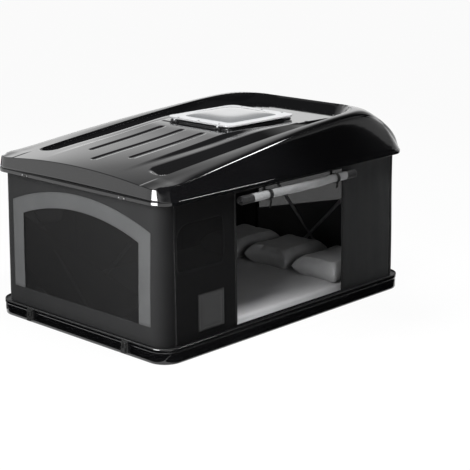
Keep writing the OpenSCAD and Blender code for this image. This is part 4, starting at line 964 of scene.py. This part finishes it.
class TENT_OT_blinds(bpy.types.Operator):
    """Builds the let-down blinds that hang like bowls inside the end windows"""
    bl_idname = "tent.blinds"
    bl_label = "Window blinds"

    def execute(self, context):
        half = 0.50
        tops = {-1: (0.33, 0.62), 1: (0.560, 0.318)}

        def low_edge(e, y):
            return 0.135 + (0.20 if e < 0 else 0.03) * clamp01(abs(y + 0.02) / half) ** 3

        for e, name in ENDS:
            near, far = tops[e]

            def spot(y, v):
                top = lerp(near, far, (y + half) / (2 * half))
                z = lerp(low_edge(e, y), top, v)
                swell = math.sin(math.pi * min(1.0, v * 1.15)) * math.cos(math.pi / 2 * y / half) ** 0.7
                ripple = 0.004 * wander(y * 2, v, 81 + e, 4.0)
                return end_spot(e, y, z, out=-0.008 - 0.024 * swell - abs(ripple))

            bm = bmesh.new()
            lay(bm, lines(-half, half, 0.02), lines(0, 1, 1 / 20), spot, flip=e < 0)
            made = cloth(bm, name + "_blind", "wall_fabric", finish="blind_fabric", thickness=0.001, sharp=80.0)
        return {"FINISHED"}


class TENT_OT_window_trims(bpy.types.Operator):
    """Builds the arched bands round the end windows"""
    bl_idname = "tent.window_trims"
    bl_label = "Window trims"

    def execute(self, context):
        leg = 18
        bow = 48

        def edge_point(p, half, shoulder, crown):
            """A point on an arch; p runs over the near leg, the bow and the far leg."""
            if p < leg:
                return Vector((-half, lerp(WINDOW_SILL, shoulder, p / leg)))
            if p > leg + bow:
                return Vector((half, lerp(shoulder, WINDOW_SILL, (p - leg - bow) / leg)))
            y = half * (2 * (p - leg) / bow - 1)
            return Vector((y, arch_top(y, half, shoulder, crown)))

        def spot(e, p, q):
            inner = edge_point(p, 0.49, 0.64, 0.728)
            outer = edge_point(p, 0.582, 0.7074, 0.82)
            flat = inner.lerp(outer, q)
            puff = 0.0012 + 0.003 * (1 - (2 * q - 1) ** 4)
            return end_spot(e, flat.x, flat.y, out=puff)

        qs = [0, 0.03, 0.065, 0.1, 0.2, 0.35, 0.5, 0.65, 0.8, 0.9, 0.935, 0.97, 1]
        for e, name in ENDS:
            bm = bmesh.new()
            marks = lay(bm, range(2 * leg + bow + 1), qs, lambda p, q: spot(e, p, q), flip=e > 0)
            map_uv(bm, marks, lambda p, q: (p * 2.16 / (2 * leg + bow), 0.092 * q))
            made = cloth(bm, name + "_arch_trim", "trim_fabric", name + "_window_trim", thickness=0.0012, sharp=70.0)
        return {"FINISHED"}


class TENT_OT_zips(bpy.types.Operator):
    """Builds the zip tapes round the doors, with their coils"""
    bl_idname = "tent.zips"
    bl_label = "Door zips"

    def execute(self, context):
        width = 0.012
        gap = 0.004
        x0, x1, z1 = DOOR_X0 - gap - width, DOOR_X1 + gap, DOOR_Z1 + gap
        qs = [0, 0.2, 0.36, 0.42, 0.5, 0.58, 0.64, 0.8, 1]

        def out(q):
            coil = max(0.0, 1 - ((q - 0.5) / 0.1) ** 2)
            return 0.0009 + 0.0014 * math.sqrt(coil)

        for k, name in SIDES:
            bm = bmesh.new()
            for low, high in ((x0, x0 + width), (x1, x1 + width)):
                lay(bm, qs, lines(DOOR_Z0, z1 + width, 0.012),
                    lambda q, z: side_spot(k, lerp(low, high, q), z, out(q)), flip=k > 0)
            lay(bm, lines(x0 + width, x1, 0.012), qs,
                lambda x, q: side_spot(k, x, lerp(z1, z1 + width, q), out(q)), flip=k > 0)
            cloth(bm, name + "_door_zip", "webbing", "door_zips", thickness=0.0008, sharp=70.0)
        return {"FINISHED"}


class TENT_OT_pocket(bpy.types.Operator):
    """Builds the outside pocket with its binding"""
    bl_idname = "tent.pocket"
    bl_label = "Side pocket"

    def execute(self, context):
        x0, x1, z0, z1 = -0.762, -0.565, 0.130, 0.333
        us = merged(lines(x0, x1, 0.0062), [x0 + 0.002, x0 + 0.006, x1 - 0.006, x1 - 0.002])
        vs = merged(lines(z0, z1, 0.0062), [z0 + 0.002, z0 + 0.006, z1 - 0.006, z1 - 0.002])

        def spot(x, z):
            edge = min(x - x0, x1 - x, z - z0, z1 - z)
            binding = 0.0022 * ease(-0.001, 0.002, edge) * (1 - ease(0.006, 0.009, edge))
            body = 0.0032 * ease(0.0, 0.03, edge) + 0.0006 * wander(x, z, 21, 22.0) * ease(0.0, 0.02, edge)
            return side_spot(-1, x, z, out=0.0008 + binding + body)

        bm = bmesh.new()
        lay(bm, us, vs, spot)
        made = cloth(bm, "pocket_cloth", "pocket_fabric", "side_pocket", thickness=0.001, sharp=80.0)

        bm = bmesh.new()
        reach = 0.0035
        stops = [x0 - 0.001, x1 + 0.001]
        for x in stops:
            lay(bm, [x - reach, x - reach / 2, x, x + reach / 2, x + reach], lines(z0 - 0.004, z1 + 0.004, 0.008),
                lambda u, z: side_spot(-1, u, z, out=0.0016 + 0.0022 * (1 - ((u - x) / reach) ** 2)))
        for z in (z0 - 0.001, z1 + 0.001):
            lay(bm, lines(stops[0], stops[1], 0.008), [z - reach, z - reach / 2, z, z + reach / 2, z + reach],
                lambda u, v: side_spot(-1, u, v, out=0.0018 + 0.0022 * (1 - ((v - z) / reach) ** 2)))
        cloth(bm, "pocket_binding", "webbing", thickness=0.0009, sharp=80.0)
        return {"FINISHED"}


class TENT_OT_doors(bpy.types.Operator):
    """Builds the rolled-up near door and the closed far door"""
    bl_idname = "tent.doors"
    bl_label = "Doors"

    def execute(self, context):
        pitch = sizes().roll_pitch
        radius = sizes().roll_r
        turns = 7.35
        core = radius - pitch * turns - 0.001
        steps = int(turns * 26)
        us = merged(lines(ROLL_X0, ROLL_X1, 0.016), [ROLL_X0 + 0.004, ROLL_X0 + 0.009, ROLL_X1 - 0.004])

        def spot(x, i):
            angle = 2 * math.pi * turns * i / steps
            r = core + pitch * turns * i / steps
            pinch = max(math.exp(-((x - s) / 0.03) ** 2) for s in STRAP_XS)
            ends = math.exp(-(x - ROLL_X0) / 0.06) + math.exp(-(ROLL_X1 - x) / 0.06)
            share = r / radius
            lump = 0.0026 * wander(x * 3, angle * 0.25, 30, 3.0) + 0.0034 * ends * wander(x * 9, angle, 34, 1.2)
            r += share * (lump - 0.0014 * pinch - 0.0006)
            sag = 0.004 * math.sin(math.pi * clamp01((x - STRAP_XS[0]) / (STRAP_XS[1] - STRAP_XS[0])))
            turn = angle + 1.9
            return Vector((x, -(ROLL_Y - 0.0005 + r * math.cos(turn)), ROLL_Z - sag - r * math.sin(turn)))

        bm = bmesh.new()
        marks = lay(bm, us, range(steps + 1), spot)
        map_uv(bm, marks, lambda x, i: (x, 0.74 * i / steps))
        made = cloth(bm, "near_rolled_door", "roll_fabric", "near_door_roll", thickness=0.0011, offset=0.0, side=-1,
                     sharp=80.0)

        lap = 0.01

        def hang(x, z):
            across = math.sin(math.pi * (x - DOOR_X0) / (DOOR_X1 - DOOR_X0))
            ripple = 0.002 * wander(x * 2, z * 0.5, 71, 5.0) + 0.0015 * math.sin(34 * x + 2 * z)
            inside = ease(DOOR_Z0, DOOR_Z0 + 0.1, z) * (1 - ease(DOOR_Z1 - 0.1, DOOR_Z1, z)) * max(0.0, across)
            return side_spot(1, x, z, out=-0.0034 + inside * ripple)

        bm = bmesh.new()
        lay(bm, lines(DOOR_X0 - lap, DOOR_X1 + lap, 0.015), lines(DOOR_Z0 - lap, DOOR_Z1 + lap, 0.02), hang,
            flip=True)
        # The far door takes the darker side canvas, whose colour is painted shade.
        made = cloth(bm, "far_door_cloth", "wall_fabric", "far_door", finish="shaded_side_fabric", sharp=80.0)
        return {"FINISHED"}


class TENT_OT_roll_straps(bpy.types.Operator):
    """Builds the straps that hold the rolled door, with their hanging tails"""
    bl_idname = "tent.roll_straps"
    bl_label = "Roll straps"

    def execute(self, context):
        half = 0.012
        loop = [math.radians(a) for a in range(0, 361, 12)]
        radius = sizes().roll_r + 0.0012

        bm = bmesh.new()
        for x in STRAP_XS:
            sag = 0.004 if x == STRAP_XS[0] else 0.003

            def ring(u, a):
                return Vector((x + u, -(ROLL_Y + radius * math.cos(a)), ROLL_Z - 0.001 - radius * math.sin(a)))

            lay(bm, [-half, -0.011, 0, 0.011, half], loop, ring)

            def tab(u, v):
                y = HALF_W - wall_inset(lerp(ROLL_Z, 0.872, v)) + 0.0035
                return Vector((x + u, -y, lerp(ROLL_Z, 0.864, v)))

            lay(bm, [-half, 0, half], lines(0, 1, 0.2), tab)

            def tail(u, v):
                hang = 0.05 if x == STRAP_XS[0] else 0.035
                y = ROLL_Y + radius * math.cos(math.radians(60)) - 0.006 * v + 0.004 * math.sin(5 * v)
                return Vector((x + u * (1 - 0.1 * v) + 0.01 * v * v, -y,
                               ROLL_Z - radius * math.sin(math.radians(60)) - sag - hang * v))

            lay(bm, [-half * 0.8, 0, half * 0.8], lines(0, 1, 0.1), tail)
        bmesh.ops.recalc_face_normals(bm, faces=bm.faces)
        cloth(bm, "near_roll_straps", "webbing", "roll_straps", thickness=0.0016, offset=1.0, side=-1, sharp=60.0)
        return {"FINISHED"}


# Bedding

def block(cuts):
    """A cube from -1 to 1 with each edge cut."""
    bm = bmesh.new()
    bmesh.ops.create_cube(bm, size=2.0)
    bmesh.ops.subdivide_edges(bm, edges=bm.edges[:], cuts=cuts, use_grid_fill=True)
    return bm


def cushion(half_x, half_y, height, middle, draw, cuts):
    """A closed pad with rounded edges and sides drawn in between the corners."""
    bm = block(cuts)
    for vert in bm.verts:
        u, v, w = vert.co
        fall = clamp01(1 - u ** 6) * clamp01(1 - v ** 6)
        thick = height / 2 * (0.16 + 0.84 * fall ** 0.42)
        x = u * (half_x - draw * (1 - v * v))
        y = v * (half_y - draw * (1 - u * u))
        vert.co = Vector((middle[0] + x, middle[1] + y, middle[2] + w * thick))
    return bm


STUFF_FRAMES = 20


def stuff(made, voxel, pressure, cap):
    """Swells a closed pad with the cloth simulation and keeps the result as its mesh."""
    remesh = made.modifiers.new("remesh", "REMESH")
    remesh.mode = "VOXEL"
    remesh.voxel_size = voxel
    bake(made)
    start = [v.co.copy() for v in made.data.vertices]
    cloth = made.modifiers.new("stuffing", "CLOTH")
    cloth.settings.quality = 6
    cloth.settings.mass = 0.25
    cloth.settings.tension_stiffness = 12.0
    cloth.settings.compression_stiffness = 8.0
    cloth.settings.bending_stiffness = 0.25
    cloth.settings.use_pressure = True
    cloth.settings.uniform_pressure_force = pressure
    cloth.settings.effector_weights.gravity = 0.0
    cloth.point_cache.frame_start = 1
    cloth.point_cache.frame_end = STUFF_FRAMES
    scene = bpy.context.scene
    for number in range(1, STUFF_FRAMES + 1):
        scene.frame_set(number)
    bake(made)
    scene.frame_set(1)
    for vert, old in zip(made.data.vertices, start):
        move = vert.co - old
        if move.length > cap:
            vert.co = old + move * (cap / move.length)


def bake(made):
    """Applies a piece's modifiers to its mesh."""
    graph = bpy.context.evaluated_depsgraph_get()
    graph.update()
    mesh = bpy.data.meshes.new_from_object(made.evaluated_get(graph))
    old = made.data
    made.modifiers.clear()
    made.data = mesh
    mesh.name = old.name + "_made"
    bpy.data.meshes.remove(old)


class TENT_OT_mattress(bpy.types.Operator):
    """Builds the mattress"""
    bl_idname = "tent.mattress"
    bl_label = "Mattress"

    def execute(self, context):
        low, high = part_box("mattress")
        half = (high - low) / 2
        bm = block(cuts=70)
        edge_r = 0.03
        for vert in bm.verts:
            u, v, w = vert.co
            x = u * (half.x - 0.006 * (1 - v * v))
            y = v * (half.y - 0.006 * (1 - u * u))
            dx, dy = half.x - abs(x), half.y - abs(y)
            near = clamp01(1 - min(dx, dy) / edge_r)
            top = 0.068 * math.sqrt(max(0.0, 1 - near * near * 0.85)) + 0.008 * (1 - u * u) * (1 - v * v)
            dip = 0.0025 * wander(x, y, 41, 4.0) + 0.0015 * wander(x, y, 43, 11.0)
            rise = clamp01((w + 1) / 2)
            z = low.z + rise * min(top + dip * (1 - near), high.z - low.z)
            pull = edge_r * 0.35 * (abs(2 * rise - 1) ** 3)
            x -= math.copysign(pull * clamp01(1 - dx / 0.02), x)
            y -= math.copysign(pull * clamp01(1 - dy / 0.02), y)
            vert.co = Vector((x, y, z))
        made = piece(bm, "mattress_pad", "mattress_cover", "base", "mattress", sharp=75.0)
        soften(made)
        return {"FINISHED"}


class TENT_OT_pillows(bpy.types.Operator):
    """Builds the three pillows"""
    bl_idname = "tent.pillows"
    bl_label = "Pillows"

    def execute(self, context):
        for name, seed in (("near", 51), ("middle", 57), ("far", 61)):
            low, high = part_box("pillow_" + name)
            middle = (low + high) / 2
            half = (high - low) / 2
            bm = cushion(half.x - 0.008, half.y - 0.008, (high.z - low.z) * 0.86, middle, draw=0.02, cuts=40)
            made = piece(bm, name + "_pillow", "pillow_cover", "base", "pillow_" + name, sharp=80.0)
            stuff(made, voxel=0.008, pressure=4.0, cap=sizes().pillow_swell)
            for vert in made.data.vertices:
                u = (vert.co.x - middle.x) / half.x
                v = (vert.co.y - middle.y) / half.y
                rim = max(abs(u), abs(v))
                around = vert.co.y if abs(u) > abs(v) else vert.co.x
                pucker = ease(0.5, 0.98, rim) * (1 - ease(0.985, 1.0, rim))
                crease = 0.0055 * pucker * wander(around * 3.2, rim * 0.8, seed, 6.0)
                soft = 0.007 * wander(vert.co.x, vert.co.y, seed + 3, 7.0) * (1 - rim * rim)
                up = 1 if vert.co.z > middle.z else -1
                vert.co.z += up * crease + (soft if up > 0 else 0.0)
                vert.co.z = min(max(vert.co.z, low.z), high.z)
            mesh = made.data
            mesh.shade_smooth()
            if not mesh.materials:
                mesh.materials.append(FINISHES["pillow_cover"].material)
            soften(made)
        return {"FINISHED"}


# Hatch and hardware

class TENT_OT_hatch_dome(bpy.types.Operator):
    """Builds the smoked dome of the hatch"""
    bl_idname = "tent.hatch_dome"
    bl_label = "Hatch dome"

    def execute(self, context):
        half_l, half_w, radius = 0.2147, 0.1997, 0.04
        base = HATCH_Z + 0.005

        def spot(u, v):
            y = v * half_w
            q = max(0.0, abs(y) - half_w + radius)
            x = u * (half_l - radius + math.sqrt(max(0.0, radius * radius - q * q)))
            rise = 0.024 * ((1 - u ** 4) * (1 - v ** 4)) ** 0.6
            return Vector((HATCH_X + x, y, base + 0.003 + rise))

        us = [math.sin(math.pi / 2 * (2 * i / 60 - 1)) for i in range(61)]
        bm = bmesh.new()
        lay(bm, us, us, spot)
        weld(bm)
        made = piece(bm, "hatch_dome_skin", "dome_plastic", "hatch", "hatch_dome", sharp=60.0)
        thicken(made, 0.003)
        return {"FINISHED"}


ROUNDED = {"hatch_lid": 0.0022, "hatch_frame": 0.001, "latch_plates": 0.0012, "latch_keepers": 0.0005,
           "strut_bracket_front": 0.0015, "strut_bracket_rear": 0.0015, "hatch_pull": 0.002, "hatch_screws": 0.0006,
           "rail_bolts": 0.0006, "keeper_rivets": 0.0004, "hatch_gasket": 0.001}


class TENT_OT_hardware(bpy.types.Operator):
    """Gives the carried-over frame pieces their finishes and rounded edges"""
    bl_idname = "tent.hardware"
    bl_label = "Hardware finishes"

    def execute(self, context):
        slots = {n["node"]: n["material_slot"] for n in frame["record"]["subparts"]}
        for name, made in frame["nodes"].items():
            if made.hide_render:
                continue
            made.data.materials.clear()
            made.data.materials.append(FINISHES[slots[name]].material)
            made.modifiers.new("weld", "WELD").merge_threshold = 0.00002
            if name in ROUNDED:
                edge = made.modifiers.new("edge", "BEVEL")
                edge.width = ROUNDED[name]
                edge.segments = 3
                edge.limit_method = "ANGLE"
                edge.angle_limit = math.radians(50)
                edge.harden_normals = False
        return {"FINISHED"}


# Stage

def card(name, low, high, material, glossy_only=True):
    """A level or upright stage card between two opposite corners."""
    (x0, y0, z0), (x1, y1, z1) = low, high
    level = [low, (x1, y0, z0), high, (x0, y1, z0)]
    upright = [low, (x1, y1, z0), high, (x0, y0, z1)]
    corners = level if z0 == z1 else upright
    bm = bmesh.new()
    bm.faces.new([bm.verts.new(c) for c in corners])
    mesh = bpy.data.meshes.new(name)
    bm.to_mesh(mesh)
    bm.free()
    mesh.materials.append(material)
    made = bpy.data.objects.new(name, mesh)
    bpy.context.scene.collection.objects.link(made)
    if glossy_only:
        made.visible_camera = False
        made.visible_diffuse = False
        made.visible_transmission = False
        made.visible_shadow = False
    return made


def glow(name, grey, strength):
    """An unlit card material."""
    material = bpy.data.materials.new(name)
    material.use_nodes = True
    graph = Graph(material.node_tree)
    graph.tree.nodes.remove(graph.tree.nodes["Principled BSDF"])
    light = graph.add("Emission", inputs={"Color": (grey, grey, grey, 1.0), "Strength": strength})
    graph.feed(graph.tree.nodes["Material Output"].inputs["Surface"], light)
    return material


def softbox(name, place, target, width, depth, watts):
    lamp = bpy.data.lights.new(name, "AREA")
    lamp.shape = "RECTANGLE"
    lamp.size = width
    lamp.size_y = depth
    lamp.energy = watts
    made = bpy.data.objects.new(name, lamp)
    bpy.context.scene.collection.objects.link(made)
    made.location = place
    made.rotation_euler = (Vector(target) - Vector(place)).to_track_quat("-Z", "Y").to_euler()
    made.visible_glossy = False


class TENT_OT_stage(bpy.types.Operator):
    """Sets up the camera, the floor, the lamps and the world"""
    bl_idname = "tent.stage"
    bl_label = "Stage"

    def execute(self, context):
        scene = bpy.context.scene
        camera = bpy.data.objects.new("camera", bpy.data.cameras.new("camera"))
        scene.collection.objects.link(camera)
        camera.location = (-5.7008, -5.6328, 2.5024)
        aim = Vector((0.2548, 0.0, 0.3539)) - camera.location
        camera.rotation_euler = aim.to_track_quat("-Z", "Y").to_euler()
        camera.data.lens = 103.73
        camera.data.sensor_width = 36.0
        camera.data.clip_end = 200.0
        scene.camera = camera
        scene.view_settings.view_transform = "Standard"

        f = Finish("pale_floor", (0.85, 0.85, 0.85), 0.9, specular_ior_level=0.0)
        seen = f.add("LightPath", output="Is Camera Ray")
        for kind in ("Is Glossy Ray", "Is Transmission Ray"):
            seen = seen.maths("MAXIMUM", f.add("LightPath", output=kind))
        white = f.add("Emission", inputs={"Color": (1.0, 1.0, 1.0, 1.0), "Strength": 1.0})
        both = f.add("MixShader", inputs={0: seen * 0.95, 1: Socket(f, f.shader.outputs[0]), 2: white})
        f.feed(f.tree.nodes["Material Output"].inputs["Surface"], both)
        card("studio_floor", (-40, -40, 0), (40, 40, 0), f.material, glossy_only=False)

        world = bpy.data.worlds.new("studio")
        scene.world = world
        world.use_nodes = True
        graph = Graph(world.node_tree)
        up = graph.add("SeparateXYZ", inputs={0: graph.add("TexCoord", output="Generated")}, output=2)
        clear = graph.add("LightPath", output="Is Camera Ray")
        clear = clear.maths("MAXIMUM", graph.add("LightPath", output="Is Transmission Ray"))
        mirror = graph.add("LightPath", output="Is Glossy Ray")
        stops = [(0.0, 1.0), (0.24, 1.0), (0.34, 0.6), (0.41, 0.4), (0.5, 0.3), (0.61, 0.04), (1.0, 0.04)]
        horizon = graph.add("ValToRGB", {"stops": stops}, {0: up})
        grey = graph.add("RGBToBW", inputs={0: horizon})
        level = clear + (1 - clear) * (mirror * grey + (1 - mirror) * 0.16)
        background = graph.tree.nodes["Background"]
        graph.feed(background.inputs["Color"], (1.0, 1.0, 1.0, 1.0))
        graph.feed(background.inputs["Strength"], level)

        black = glow("black_flag", 0.0, 1.0)
        card("low_flag_near", (-1.06, -0.73, 0.002), (9, -6, 0.002), black)
        card("low_flag_far", (-1.06, 0.73, 0.002), (9, 3.5, 0.002), black)
        card("low_flag_front", (-1.07, -1.0, 0.002), (-2.2, 1.8, 0.002), black)
        card("wall_flag_near", (-1.2, -6, 0.0), (10.5, -6, 10), black)
        card("wall_flag_far", (-1.2, 6, 0.0), (16, 6, 1.0), black)
        card("band_flag", (-1.1, -0.6, 1.16), (3, -0.6, 4), black)
        shade = card("pillow_shade", (-0.1, -1.5, 1.6), (0.62, -0.62, 1.6), black, glossy_only=False)
        shade.visible_camera = shade.visible_glossy = False
        bright = glow("strip_light", 1.0, 22.0)
        card("corner_strip", (-3.4, -1.3, 0.05), (-3.4, 0.2, 2.3), bright)
        card("crease_strip", (1.1, -1.6, 3.1), (2.2, -1.0, 3.1), bright)

        softbox("front_key", (-4.2, -1.2, 3.2), (-0.6, 0.0, 0.5), 2.4, 1.8, 190)
        softbox("side_key", (-0.3, -1.7, 4.3), (-0.2, -0.6, 0.4), 2.0, 0.8, 200)
        softbox("back_fill", (2.5, 3.5, 3.5), (0.2, 0.2, 0.6), 2.5, 2.0, 60)
        softbox("door_fill", (-1.1, -3.4, 1.3), (0.4, 0.1, 0.25), 1.2, 0.7, 14)
        return {"FINISHED"}


class TENT_PT_pieces(bpy.types.Panel):
    """Lists the tent's pieces"""
    bl_label = "Roof top tent"
    bl_idname = "TENT_PT_pieces"
    bl_space_type = "VIEW_3D"
    bl_region_type = "UI"
    bl_category = "Tent"

    def draw(self, context):
        column = self.layout.column()
        for operator in OPERATORS:
            column.operator(operator.bl_idname)
        for group in (context.scene.tent_sizes, context.scene.tent_colours):
            for key in group.__annotations__:
                column.prop(group, key)


OPERATORS = (TENT_OT_roof_shell, TENT_OT_shell_bands, TENT_OT_end_walls, TENT_OT_side_walls, TENT_OT_rear_panels,
             TENT_OT_window_meshes, TENT_OT_blinds, TENT_OT_window_trims, TENT_OT_zips, TENT_OT_pocket, TENT_OT_doors,
             TENT_OT_roll_straps, TENT_OT_mattress, TENT_OT_pillows, TENT_OT_hatch_dome, TENT_OT_hardware,
             TENT_OT_stage)
CLASSES = (TentSizes, TentColours) + OPERATORS + (TENT_PT_pieces,)


def register():
    for cls in CLASSES:
        bpy.utils.register_class(cls)
    bpy.types.Scene.tent_sizes = bpy.props.PointerProperty(type=TentSizes)
    bpy.types.Scene.tent_colours = bpy.props.PointerProperty(type=TentColours)


def unregister():
    del bpy.types.Scene.tent_sizes
    del bpy.types.Scene.tent_colours
    for cls in reversed(CLASSES):
        bpy.utils.unregister_class(cls)


def main():
    register()
    make_finishes(bpy.context.scene.tent_colours)
    for operator in OPERATORS:
        group, call = operator.bl_idname.split(".")
        getattr(getattr(bpy.ops, group), call)()


if __name__ == "__main__":
    main()
